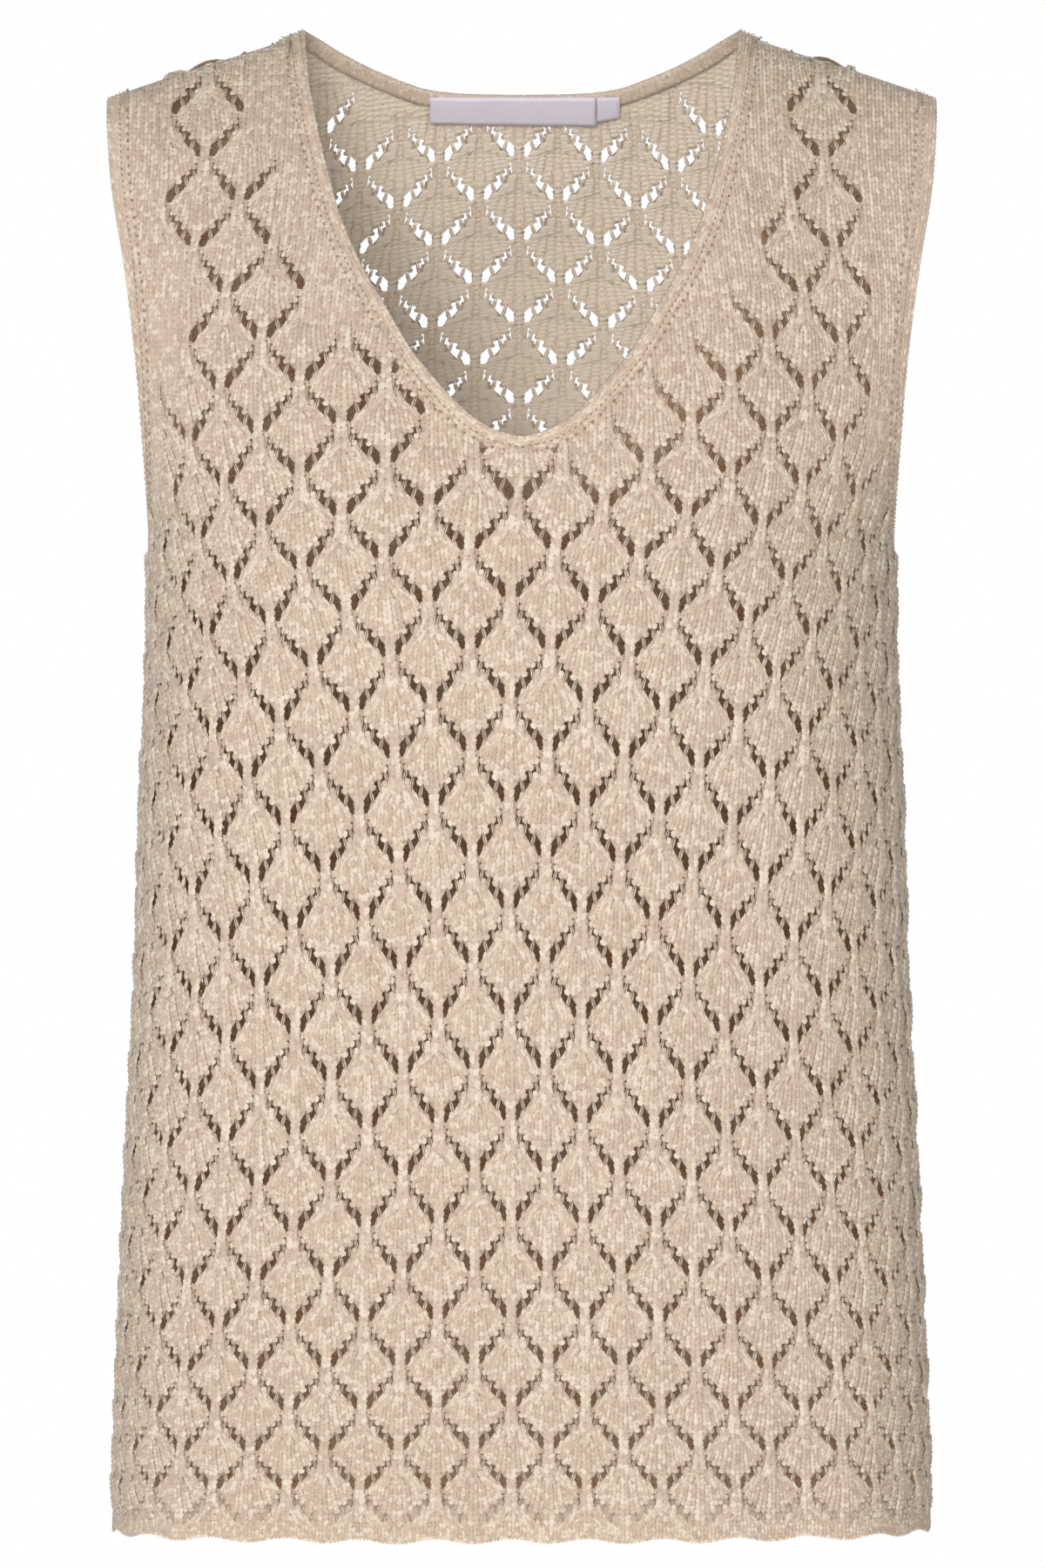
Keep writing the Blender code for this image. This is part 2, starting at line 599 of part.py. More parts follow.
def main():
    for old in list(bpy.data.objects):
        bpy.data.objects.remove(old, do_unlink=True)
    for panel in PANELS:
        make_panel(panel, make_material(panel + "_leaf_lace", COTTON, YARN_ROUGHNESS))
    for side, name in ((-1.0, "left"), (1.0, "right")):
        front = armhole_edge("front", side)
        back = armhole_edge("back", side)
        parts = [("front", *front), ("back", back[0][::-1], back[1][::-1])]
        node = "armhole_band_" + name
        band_ring(node, parts, ARM_BAND, make_material(node + "_knit", COTTON, YARN_ROUGHNESS))
    stretches = []
    for panel, side, turned in (("front", 1.0, False), ("front", -1.0, True), ("back", -1.0, False),
                                ("back", 1.0, True)):
        edge, seam = neck_edge(panel, side)
        stretches.append((panel, edge[::-1] if turned else edge, seam[::-1] if turned else seam))
    band_ring("neckband", stretches, NECK_BAND, make_material("neckband_knit", COTTON, YARN_ROUGHNESS))
    for label in LABELS:
        make_label(*label, make_material(label[0] + "_ribbon", RIBBON, RIBBON_ROUGHNESS))


main()
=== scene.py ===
import json
import math
import bpy
import numpy as np
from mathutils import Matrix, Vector

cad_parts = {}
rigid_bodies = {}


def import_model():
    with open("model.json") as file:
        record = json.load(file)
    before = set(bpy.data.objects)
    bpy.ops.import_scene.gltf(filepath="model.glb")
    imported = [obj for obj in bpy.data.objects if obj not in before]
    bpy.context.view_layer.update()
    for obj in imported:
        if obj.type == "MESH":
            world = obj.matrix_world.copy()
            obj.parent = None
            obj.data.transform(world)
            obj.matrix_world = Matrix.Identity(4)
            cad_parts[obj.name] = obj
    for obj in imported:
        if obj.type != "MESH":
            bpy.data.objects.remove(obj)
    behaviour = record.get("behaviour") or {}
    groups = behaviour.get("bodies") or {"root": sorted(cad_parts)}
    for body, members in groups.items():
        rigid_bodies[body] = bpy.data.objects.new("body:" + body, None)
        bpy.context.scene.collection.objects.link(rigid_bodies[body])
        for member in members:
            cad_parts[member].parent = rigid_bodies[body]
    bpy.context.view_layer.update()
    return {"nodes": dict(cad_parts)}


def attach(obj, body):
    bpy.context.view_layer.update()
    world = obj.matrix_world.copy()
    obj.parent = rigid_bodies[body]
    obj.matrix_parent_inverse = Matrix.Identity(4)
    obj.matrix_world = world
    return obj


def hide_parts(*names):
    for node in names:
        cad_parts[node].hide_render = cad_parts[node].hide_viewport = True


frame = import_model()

mm = 0.001
print("frame loaded", sorted(frame["nodes"]))

# the body the top is worn on: drop below the shoulder, half width, front depth, back depth
bodyTable = (
    (0.000, 0.1660, 0.0000, 0.0000),
    (0.001, 0.1660, 0.0080, 0.0070),
    (0.004, 0.1655, 0.0150, 0.0140),
    (0.012, 0.1650, 0.0250, 0.0240),
    (0.030, 0.1647, 0.0420, 0.0410),
    (0.060, 0.1628, 0.0620, 0.0640),
    (0.100, 0.1565, 0.0850, 0.0890),
    (0.150, 0.1505, 0.1070, 0.1080),
    (0.204, 0.1474, 0.1200, 0.1120),
    (0.250, 0.1478, 0.1220, 0.1070),
    (0.310, 0.1505, 0.1120, 0.0960),
    (0.370, 0.1522, 0.1000, 0.0880),
    (0.450, 0.1562, 0.0960, 0.0890),
    (0.530, 0.1596, 0.0970, 0.0930),
    (0.620, 0.1628, 0.1000, 0.0970),
)

bodyEnd = bodyTable[-1][0]

# the cut of the top, with each edge as half width, drop
cut = {
    "length": 0.594,
    "underarmDrop": 0.204,
    "shoulderTipDrop": 0.0285,
    "neckBand": 7.6 * mm,
    "armBand": 9.0 * mm,
    "wall": 2.0 * mm,
    "gap": 0.3 * mm,
    "shoulder": ((0.000, 0.0000), (0.078, 0.0000), (0.0865, 0.0012), (0.098, 0.0062), (0.130, 0.0163),
                 (0.166, 0.0285)),
    "frontNeck": ((0.0865, 0.0012), (0.0852, 0.0168), (0.0822, 0.0346), (0.0772, 0.0562), (0.0723, 0.0750),
                  (0.0671, 0.0887), (0.0608, 0.1018), (0.0513, 0.1178), (0.0433, 0.1318), (0.0328, 0.1447),
                  (0.0199, 0.1580), (0.0089, 0.1644), (0.0000, 0.1664)),
    "backNeck": ((0.0865, 0.0012), (0.0805, 0.0041), (0.0727, 0.0087), (0.0623, 0.0139), (0.0502, 0.0188),
                 (0.0370, 0.0230), (0.0206, 0.0245), (0.0000, 0.0248)),
}

# the gauge of the knitting: rows up from the cast-on edge, and where they lie
gauge = {
    "leafColumns": 14,      # leaf columns from the centre to a side seam
    "stitchesALeaf": 5,     # from one leaf column to the next
    "rowsAHalfLeaf": 8,     # from one row of leaf tips to the next
    "lastRow": 256,
    "firstTip": 4,          # row of the lowest leaf tips, in the odd columns
    "rows": ((-8, 0.6060), (0, 0.5940), (4, 0.5868), (36, 0.5223), (68, 0.4472), (100, 0.3655),
             (132, 0.2833), (164, 0.2052), (196, 0.1305), (228, 0.0572), (256, -0.0050)),
    # the back's rows and columns are set so that few of its eyelets lie behind the front's
    "backFirstTip": 0,
    "backRows": ((-8, 0.6100), (0, 0.5940), (25, 0.5410), (57, 0.4645), (89, 0.3798), (121, 0.2939),
                 (153, 0.2115), (165, 0.1815), (181, 0.1489), (197, 0.1163), (213, 0.0837), (229, 0.0511),
                 (245, 0.0185), (256, -0.0050)),
    "backSpacing": 1.048,
    "sag": ((0.00, 0.0100), (0.14, 0.0112), (0.25, 0.0095), (0.37, 0.0080), (0.45, 0.0050), (0.60, 0.0000)),
    "sagColumn": 6.0,       # where the sag is as in the table
    "sagMost": 2.0,         # and how many times that it may grow to
    # how the front's sag grows outwards, as a power of the column
    "sagPower": ((0.00, 0.15), (0.09, 0.20), (0.13, 0.60), (0.17, 1.10), (0.24, 1.40), (0.36, 1.50),
                 (0.60, 1.50)),
    "backSagPower": 1.5,
    "spread": ((0.00, -0.06), (0.05, -0.045), (0.085, 0.00), (0.12, 0.06), (0.16, 0.09), (0.19, 0.08),
               (0.27, -0.05), (0.40, -0.07), (0.60, -0.045)),
    "frontCentre": ((0.00, -0.0010), (0.18, -0.0010), (0.22, -0.0042), (0.36, -0.0050), (0.45, -0.0042),
                    (0.60, -0.0040)),
    "scallop": 1.1 * mm,
    "scallopRows": 6.0,     # how fast the scallops fade going up
}
leafWide = gauge["stitchesALeaf"]
halfLeaf = gauge["rowsAHalfLeaf"]
lastStitch = gauge["leafColumns"] * leafWide

panels = {
    # corners of the plan left and right, and depth of the armhole edge as a share of the panel's
    "front": {"facing": -1.0, "depthColumn": 2, "corner": (2.9, 2.3), "armhole": 0.64},
    "back": {"facing": 1.0, "depthColumn": 3, "corner": (2.4, 2.4), "armhole": 0.60},
}
# half width of the lace: drop, half width
laceLimit = {
    "front": ((0.0, 0.136), (0.093, 0.136), (0.19, 0.142), (0.215, 0.30)),
    "back": ((0.0, 0.134), (0.093, 0.134), (0.19, 0.142), (0.215, 0.30)),
}
# width of the plain knitting beside the neckband: drop, width
plainByNeck = {
    "front": ((0.0, 16 * mm), (0.10, 16 * mm), (0.135, 6 * mm), (0.16, 1.5 * mm), (0.3, 1.5 * mm)),
    "back": ((0.0, 7 * mm), (0.3, 7 * mm)),
}

# slow folds up from the hem: panel, place across, half width, depth, height
folds = (
    ("front", -0.088, 0.020, -0.0040, 0.130),
    ("front", -0.055, 0.018, 0.0030, 0.150),
    ("front", 0.012, 0.026, -0.0026, 0.110),
    ("front", 0.105, 0.022, -0.0036, 0.140),
    ("front", 0.138, 0.016, 0.0028, 0.120),
    ("back", -0.110, 0.022, -0.0036, 0.130),
    ("back", -0.040, 0.026, 0.0030, 0.150),
    ("back", 0.050, 0.024, -0.0034, 0.120),
    ("back", 0.120, 0.020, 0.0028, 0.140),
)
foldFade = 1.6          # how fast they fade going up


def smoothLookup(table, x, column=1):
    # a curve through the rows of a table that never overshoots them
    px = np.array([row[0] for row in table], dtype=float)
    py = np.array([row[column] for row in table], dtype=float)
    step = np.diff(px)
    slope = np.diff(py) / step
    tangent = np.zeros(len(px))
    tangent[0] = slope[0]
    tangent[-1] = slope[-1]
    for i in range(1, len(px) - 1):
        if slope[i - 1] * slope[i] > 0.0:
            w1 = 2.0 * step[i] + step[i - 1]
            w2 = step[i] + 2.0 * step[i - 1]
            tangent[i] = (w1 + w2) / (w1 / slope[i - 1] + w2 / slope[i])
    x = np.clip(np.asarray(x, dtype=float), px[0], px[-1])
    k = np.clip(np.searchsorted(px, x, side="right") - 1, 0, len(px) - 2)
    s = (x - px[k]) / step[k]
    return (py[k] * (1 + 2 * s) * (1 - s) ** 2 + step[k] * tangent[k] * s * (1 - s) ** 2
            + py[k + 1] * s * s * (3 - 2 * s) + step[k] * tangent[k + 1] * s * s * (s - 1))


def shoulderDrop(x):
    return smoothLookup(cut["shoulder"], np.abs(x))


def armholeRatio(panel, drop):
    # how deep the armhole edge lies at each drop
    top, low = cut["shoulderTipDrop"], cut["underarmDrop"]
    span = np.clip((np.asarray(drop, dtype=float) - top) / (low - top), 0.0, 1.0)
    return panels[panel]["armhole"] * np.sqrt(1.0 - span ** 3)


def section(panel, side, drop):
    # half width, depth and corner power of a panel's plan at each drop
    corner = panels[panel]["corner"]
    power = np.where(np.asarray(side) < 0, corner[0], corner[1])
    edge = smoothLookup(bodyTable, drop, 1)
    width = edge / (1.0 - armholeRatio(panel, drop) ** power) ** (1.0 / power)
    depth = smoothLookup(bodyTable, drop, panels[panel]["depthColumn"])
    return width, depth, power


quarterTurn = np.linspace(0.0, math.pi / 2, 121)


def quarterCurve(width, depth, power):
    # the plan from the centre line to the side: x, share of the depth, length along it
    share = np.clip(np.cos(quarterTurn), 0.0, 1.0)[None, :] ** (2.0 / power[:, None])
    x = width[:, None] * np.sin(quarterTurn)[None, :] ** (2.0 / power[:, None])
    length = np.zeros_like(x)
    steps = np.hypot(np.diff(x, axis=1), np.diff(share * depth[:, None], axis=1))
    length[:, 1:] = np.cumsum(steps, axis=1)
    return x, share, length


def rowInterp(value, knots, result):
    # one lookup for each value, in its own row
    out = np.empty(len(value))
    for i in range(len(value)):
        out[i] = np.interp(value[i], knots[i], result[i])
    return out


def foldHeight(panel, across, drop):
    total = np.zeros(len(across))
    for owner, place, half, depth, height in folds:
        if owner == panel:
            rise = np.clip((drop - (cut["length"] - height)) / height, 0.0, 1.0)
            total += depth * np.exp(-((across - place) / half) ** 2) * rise ** foldFade
    return total


def surface(panel, across, drop):
    # outer face of a panel, with across measured along the cloth from the centre line
    across = np.asarray(across, dtype=float)
    drop = np.asarray(drop, dtype=float)
    side = np.where(across < 0, -1.0, 1.0)
    width, depth, power = section(panel, side, drop)
    xs, shares, lengths = quarterCurve(width, depth, power)
    x = rowInterp(np.abs(across), lengths, xs)
    share = rowInterp(np.abs(across), lengths, shares)
    local = smoothLookup(bodyTable, drop - shoulderDrop(x), panels[panel]["depthColumn"])
    y = local * share
    acrossPull = (x / width) ** (power - 1) / width
    depthPull = share ** (power - 1) / np.maximum(depth, 1e-4)
    size = np.hypot(acrossPull, depthPull)
    fold = foldHeight(panel, across, drop)
    x = x + fold * acrossPull / size
    y = y + fold * depthPull / size
    return np.stack([side * x, panels[panel]["facing"] * y, -drop], axis=1)


slopeStep = 0.4 * mm


def outward(panel, across, drop):
    h = slopeStep
    du = surface(panel, across + h, drop) - surface(panel, across - h, drop)
    dv = surface(panel, across, drop - h) - surface(panel, across, drop + h)
    n = np.cross(du, dv) * -panels[panel]["facing"]
    size = np.linalg.norm(n, axis=1)[:, None]
    return np.where(size > 1e-12, n / np.maximum(size, 1e-12), (0.0, 0.0, 1.0))


def sideLength(panel, side, drop):
    # from the centre line to the side seam along the cloth
    drop = np.atleast_1d(np.asarray(drop, dtype=float))
    width, depth, power = section(panel, np.full(len(drop), side), np.maximum(drop, cut["underarmDrop"]))
    return quarterCurve(width, depth, power)[2][:, -1]


def acrossAt(panel, x, drop):
    x = np.asarray(x, dtype=float)
    drop = np.asarray(drop, dtype=float)
    width, depth, power = section(panel, np.where(x < 0, -1.0, 1.0), drop)
    xs, _, lengths = quarterCurve(width, depth, power)
    return np.sign(x) * rowInterp(np.abs(x), xs, lengths)


def latticePoint(panel, column, row):
    # a knitted column and row as across, drop
    column = np.asarray(column, dtype=float)
    row = np.asarray(row, dtype=float)
    front = panel == "front"
    drop = smoothLookup(gauge["rows" if front else "backRows"], row)
    power = smoothLookup(gauge["sagPower"], drop) if front else gauge["backSagPower"]
    outwards = np.minimum(np.abs(column) / gauge["sagColumn"], gauge["sagMost"])
    drop = drop + smoothLookup(gauge["sag"], drop) * outwards ** power
    drop = drop - gauge["scallop"] * np.cos(math.pi * column) * np.exp(-np.abs(row) / gauge["scallopRows"])
    frontCentre = smoothLookup(gauge["frontCentre"], drop)
    centre = frontCentre * (1.0 if front else gauge["backSpacing"])
    spread = smoothLookup(gauge["spread"], drop)
    u = np.abs(column) / gauge["leafColumns"]
    left = sideLength(panel, -1.0, drop) + centre
    right = sideLength(panel, 1.0, drop) - centre
    length = np.where(column < 0, left, right)
    if not front:
        frontLeft = sideLength("front", -1.0, drop) + frontCentre
        frontRight = sideLength("front", 1.0, drop) - frontCentre
        frontLength = np.where(column < 0, frontLeft, frontRight)
        spread = gauge["backSpacing"] * frontLength / length * (1 + spread) - 1
    share = u + spread * u * (1.0 - u * u)
    return centre + np.sign(column) * length * share, drop


def stepAlong(panel, points, distance, turn):
    # moves a line of across, drop points sideways over the cloth by a real distance
    p = surface(panel, points[:, 0], points[:, 1])
    n = outward(panel, points[:, 0], points[:, 1])
    run = np.gradient(p, axis=0)
    run /= np.linalg.norm(run, axis=1)[:, None]
    go = np.cross(n, run) * turn * -panels[panel]["facing"]
    h = slopeStep
    across, drop = points.T
    du = (surface(panel, across + h, drop) - surface(panel, across - h, drop)) / (2 * h)
    dv = (surface(panel, across, drop + h) - surface(panel, across, drop - h)) / (2 * h)
    moved = points.copy()
    for i in range(len(points)):
        jac = np.stack([du[i], dv[i]], axis=1)
        moved[i] += np.linalg.lstsq(jac, go[i] * distance, rcond=None)[0]
    return moved


edges = {
    "armPoints": 26,
    "armCrowd": 1.15,       # crowds the armhole's points towards the shoulder
    "armTip": 0.95,         # where the seams meet the shoulder line, in band widths
    "neckPoints": 18,
    "neckTip": 1.15,
    "offShoulder": 0.02 * mm,
    "farOut": 0.3,          # the outline passes this wide of the sides
    "overTop": -0.02,
    "underHem": 12 * mm,
}


def armholeEdge(panel, side):
    # edge and seam of an armhole band, from the shoulder down
    s = np.sin(np.linspace(0.0, math.pi / 2, edges["armPoints"] + 1)) ** edges["armCrowd"]
    drop = cut["shoulderTipDrop"] + (cut["underarmDrop"] - cut["shoulderTipDrop"]) * s
    drop[0] += edges["offShoulder"]
    x = side * smoothLookup(bodyTable, drop, 1)
    edge = np.stack([acrossAt(panel, x, drop), drop], axis=1)
    edge[-1, 0] = side * sideLength(panel, side, drop[-1])[0]
    seam = stepAlong(panel, edge, cut["armBand"], -side)
    tipX = abs(surface(panel, edge[:1, 0], edge[:1, 1])[0, 0]) - cut["armBand"] * edges["armTip"]
    seam[0] = (acrossAt(panel, [side * tipX], shoulderDrop([tipX]))[0], shoulderDrop([tipX])[0])
    end = cut["underarmDrop"] + cut["armBand"]
    seam[-1] = (side * sideLength(panel, side, end)[0], end)
    return edge, seam


def neckEdge(panel, side):
    # edge and seam of the neckband, from the shoulder to the centre line
    table = np.array(cut[panel + "Neck"])
    run = np.concatenate([[0.0], np.cumsum(np.hypot(*np.diff(table, axis=0).T))])
    t = np.linspace(0.0, run[-1], edges["neckPoints"] + 1)
    x = side * smoothLookup(np.stack([run, table[:, 0]], axis=1), t)
    drop = smoothLookup(np.stack([run, table[:, 1]], axis=1), t)
    drop[0] = shoulderDrop(x[0]) + edges["offShoulder"]
    edge = np.stack([acrossAt(panel, x, drop), drop], axis=1)
    seam = stepAlong(panel, edge, cut["neckBand"], side)
    seamX = abs(x[0]) + cut["neckBand"] * edges["neckTip"]
    seam[0] = (acrossAt(panel, [side * seamX], shoulderDrop([seamX]))[0], shoulderDrop([seamX])[0])
    seam[-1, 0] = 0.0
    return edge, seam


def awayFrom(points, line):
    # how far each point lies from a line of points
    best = np.full(len(points), 1e9)
    for p, q in zip(line[:-1], line[1:]):
        d = q - p
        t = np.clip(((points - p) @ d) / max(d @ d, 1e-12), 0.0, 1.0)
        best = np.minimum(best, np.linalg.norm(points - p - t[:, None] * d, axis=1))
    return best


def within(points, outline):
    # which points lie inside an outline
    inside = np.zeros(len(points), dtype=bool)
    x, y = points[:, 0], points[:, 1]
    for (x0, y0), (x1, y1) in zip(outline, np.roll(outline, -1, axis=0)):
        if y0 == y1:
            continue
        crosses = (y0 > y) != (y1 > y)
        inside ^= crosses & (x < (x1 - x0) * (y - y0) / (y1 - y0) + x0)
    return inside


# materials

def linear(hexColour):
    # sRGB hex to linear
    parts = [int(hexColour[i:i + 2], 16) / 255 for i in (1, 3, 5)]
    return tuple(c / 12.92 if c <= 0.04045 else ((c + 0.055) / 1.055) ** 2.4 for c in parts) + (1.0,)


def addNode(tree, kind, settings=None, links=None, values=None):
    # one node with its settings, socket values and incoming links
    node = tree.nodes.new(kind)
    for name, value in (settings or {}).items():
        setattr(node, name, value)
    for name, value in (values or {}).items():
        node.inputs[name].default_value = value
    for name, socket in (links or {}).items():
        tree.links.new(socket, node.inputs[name])
    return node


def newMaterial(name):
    material = bpy.data.materials.new(name)
    material.use_nodes = True
    tree = material.node_tree
    return material, tree, tree.nodes["Principled BSDF"]


cottonYarn = {
    # place on the ramp and colour, from a deep brown of painted shade between the stitches and in the
    # eyelets to the palest flecks
    "paintedShade": (0.10, "#a9743f"),
    "grey": (0.42, "#baab96"),
    "rose": (0.62, "#d4bcab"),
    "beige": (0.80, "#d1c0aa"),
    "pale": (1.00, "#e9dbc9"),
    "shadeShare": 0.55,     # how far a yarn's own shade moves it along the ramp
    "fleckSize": 0.9 * mm,
    "fuzzSize": 0.22 * mm,
    "fuzzHeight": 0.10 * mm,
    "fuzzStrength": 0.7,
    "roughness": 0.85,
    "sheen": 0.25,
    "shine": 0.25,
}


def makeCottonYarn(name):
    # cotton melange yarn, spun soft and knitted: matt, a little fuzzy, flecked pale, rose and grey, with a
    # deep brown of painted shade at the low end of its ramp
    material, tree, shader = newMaterial(name)
    place = addNode(tree, "ShaderNodeTexCoord").outputs["Object"]
    shade = addNode(tree, "ShaderNodeAttribute", {"attribute_name": "shade"}).outputs["Fac"]
    fleck = addNode(tree, "ShaderNodeTexNoise", values={"Scale": 1 / cottonYarn["fleckSize"], "Detail": 3.0},
                    links={"Vector": place})
    mixed = addNode(tree, "ShaderNodeMath", {"operation": "MULTIPLY_ADD"},
                    {0: shade, 2: fleck.outputs["Fac"]}, {1: cottonYarn["shadeShare"]})
    ramp = addNode(tree, "ShaderNodeValToRGB", links={"Fac": mixed.outputs[0]})
    stops = [cottonYarn[key] for key in ("paintedShade", "grey", "rose", "beige", "pale")]
    while len(ramp.color_ramp.elements) < len(stops):
        ramp.color_ramp.elements.new(0.5)
    for element, (position, colour) in zip(ramp.color_ramp.elements, stops):
        element.position = position
        element.color = linear(colour)
    tree.links.new(ramp.outputs["Color"], shader.inputs["Base Color"])
    fuzz = addNode(tree, "ShaderNodeTexNoise", values={"Scale": 1 / cottonYarn["fuzzSize"], "Detail": 2.0},
                   links={"Vector": place})
    bump = addNode(tree, "ShaderNodeBump", links={"Height": fuzz.outputs["Fac"]},
                   values={"Strength": cottonYarn["fuzzStrength"], "Distance": cottonYarn["fuzzHeight"]})
    tree.links.new(bump.outputs["Normal"], shader.inputs["Normal"])
    shader.inputs["Roughness"].default_value = cottonYarn["roughness"]
    shader.inputs["Sheen Weight"].default_value = cottonYarn["sheen"]
    shader.inputs["Specular IOR Level"].default_value = cottonYarn["shine"]
    return material


labelRibbon = {
    "colour": "#e9e1ec",
    "thread": "#dfd7e4",
    "cloudScale": 120.0,
    "pick": 0.30 * mm,      # weft spacing, drawn about twice as coarse as it is so that it shows
    "wavePeriod": 0.314,    # crest to crest of a wave texture at scale 1
    "wander": 0.4,
    "weftHeight": 0.05 * mm,
    "weftStrength": 0.25,
    "roughness": 0.5,
    "sheen": 0.2,
}


def makeSatinRibbon(name):
    # polyester satin ribbon, woven in fine picks: smooth and softly shiny
    material, tree, shader = newMaterial(name)
    place = addNode(tree, "ShaderNodeTexCoord").outputs["Object"]
    weft = addNode(tree, "ShaderNodeTexWave", {"bands_direction": "Z"}, {"Vector": place},
                   {"Scale": labelRibbon["wavePeriod"] / labelRibbon["pick"],
                    "Distortion": labelRibbon["wander"]})
    bump = addNode(tree, "ShaderNodeBump", links={"Height": weft.outputs["Fac"]},
                   values={"Strength": labelRibbon["weftStrength"], "Distance": labelRibbon["weftHeight"]})
    tree.links.new(bump.outputs["Normal"], shader.inputs["Normal"])
    cloud = addNode(tree, "ShaderNodeTexNoise", links={"Vector": place},
                    values={"Scale": labelRibbon["cloudScale"]})
    ramp = addNode(tree, "ShaderNodeValToRGB", links={"Fac": cloud.outputs["Fac"]})
    ramp.color_ramp.elements[0].color = linear(labelRibbon["thread"])
    ramp.color_ramp.elements[1].color = linear(labelRibbon["colour"])
    tree.links.new(ramp.outputs["Color"], shader.inputs["Base Color"])
    shader.inputs["Roughness"].default_value = labelRibbon["roughness"]
    shader.inputs["Sheen Weight"].default_value = labelRibbon["sheen"]
    return material


yarnMaterial = makeCottonYarn("cotton_yarn_knitted")
ribbonMaterial = makeSatinRibbon("polyester_satin_woven")
print("materials made")


def addPiece(name, points, faces, material, node, shade=None, cells=None):
    # faces is an array of triangles or quads, cells gives each face corner its place on the bake map
    mesh = bpy.data.meshes.new(name)
    faces = np.asarray(faces, dtype=np.int32)
    mesh.vertices.add(len(points))
    mesh.vertices.foreach_set("co", np.asarray(points, dtype=np.float32).ravel())
    mesh.loops.add(faces.size)
    mesh.loops.foreach_set("vertex_index", faces.ravel())
    mesh.polygons.add(len(faces))
    mesh.polygons.foreach_set("loop_start", np.arange(0, faces.size, faces.shape[1], dtype=np.int32))
    mesh.update(calc_edges=True)
    mesh.shade_smooth()
    if shade is not None:
        layer = mesh.attributes.new("shade", "FLOAT", "POINT")
        layer.data.foreach_set("value", np.asarray(shade, dtype=np.float32))
    if cells is not None:
        uvLayer = mesh.uv_layers.new(name="OFBake")
        uvLayer.uv.foreach_set("vector", np.asarray(cells, dtype=np.float32).ravel())
    mesh.materials.append(material)
    piece = bpy.data.objects.new(name, mesh)
    bpy.context.scene.collection.objects.link(piece)
    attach(piece, "root")
    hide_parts(node)
    return piece


# the leaf, half of it, from one tip up to the next row of tips: for each row, where its stitches
# lie across (in stitches) and up (in rows) from the tip, out to the neighbour's spine
leafPlaces = np.array((
    ((0, 0.1), (1.45, 1.5), (2.0, -.75), (2.85, -.4), (3.9, .1), (5, .6)),
    ((0, 1.2), (1.38, 2.3), (2.0, -.3), (2.95, .1), (3.95, .7), (5, 1.5)),
    ((0, 2.3), (1.3, 3.1), (2.65, 3.2), (3.2, .55), (4.0, 1.2), (5, 2.5)),
    ((0, 3.4), (1.2, 4.0), (2.45, 3.9), (3.35, 1.0), (4.05, 1.7), (5, 3.5)),
    ((0, 4.5), (1.15, 4.9), (2.3, 4.6), (3.45, 4.3), (4.1, 2.2), (5, 4.5)),
    ((0, 5.5), (1.1, 5.7), (2.2, 5.3), (3.3, 4.9), (4.15, 2.7), (5, 5.4)),
    ((0, 6.5), (1.05, 6.5), (2.12, 6.05), (3.15, 5.6), (3.95, 5.5), (5, 6.3)),
    ((0, 7.4), (1.0, 7.3), (2.05, 6.8), (3.0, 6.35), (3.85, 6.2), (5, 7.2)),
))

leaf = {
    "judgedAt": (0.5, 3),       # where a half leaf counts as in the lace, in columns and rows from its tip
    "belowShoulder": 12 * mm,
    "softSteps": 3,             # how far the plain stitches beside the lace lean with it
    "softFade": 0.9,
    "crownRow": 7.5,            # the leaf's highest row over its tip
    "crownHalf": (2.6, 5.5),    # half sizes here are in stitches and rows
    "crownRise": 1.5 * mm,
    "spineHalf": 0.75,
    "spineRise": 1.1 * mm,
    "footShare": 0.3,           # share of its rise that the spine has at a leaf's foot
    "eyeletAt": (1.2, 1.6),
    "eyeletHalf": (1.2, 1.8),
    "eyeletSink": 0.7 * mm,
    "openAt": (1.3, 0.0),       # centre of a leaf's lowest eyelet from its tip
    "openHalf": (0.62, 1.15),
    "neckPair": (0, 172, 1.5),  # column and row of the wider pair under the V, and how much wider
    "shutRows": 9,              # lower eyelets hang below the back's hem and stay drawn shut
}
knit = {
    "stitch": 2.95 * mm,
    "rowShare": 0.8,            # a row's height in stitches
    "widthLimits": (0.85, 1.5),
    "thick": 0.80 * mm,         # half depth of a yarn
    "unevenHalf": (0.93, 1.07),
    "unevenThick": (0.92, 1.08),
    "lean": 0.45,
    "past": 0.8 * mm,           # how far stitches run under the bands
}
# how a stitch's yarns run: base and head in stitches and rows, half width in stitches, lift of each end
stitchRuns = {
    "plain": ((0.15, -0.25), (0.33, 0.32), 0.28, (0.10 * mm, -0.50 * mm)),
    "wide": ((0.17, -0.2), (0.36, 0.3), 0.308, (0.10 * mm, -0.50 * mm)),
    "double": ((0.15, -0.25), (0.33, 0.32), 0.322, (0.3 * mm, -0.25 * mm)),
    "doubleSide": ((-0.1, 0.0), (0.18, 0.0), 0.252, (0.0, -0.2 * mm)),
    "thrown": ((0.13, -0.1), (0.14, 0.4), 0.15, (-0.2 * mm, -0.3 * mm)),
}
plainKnit, yarnOver, slanted, doubleDecrease = range(4)


def leafLocal(i, j, firstTip):
    # for each stitch its leaf tip's column, stitches out from it, side, row over it, half leaf's number
    number, rowIn = (j - firstTip) // halfLeaf, (j - firstTip) % halfLeaf
    column = i // leafWide
    out = i - leafWide * column
    tipHere = (column % 2 == 1) == (number % 2 == 0)
    return (np.where(tipHere, column, column + 1), np.where(tipHere, out, leafWide - out),
            np.where(tipHere, 1, -1), rowIn, number)


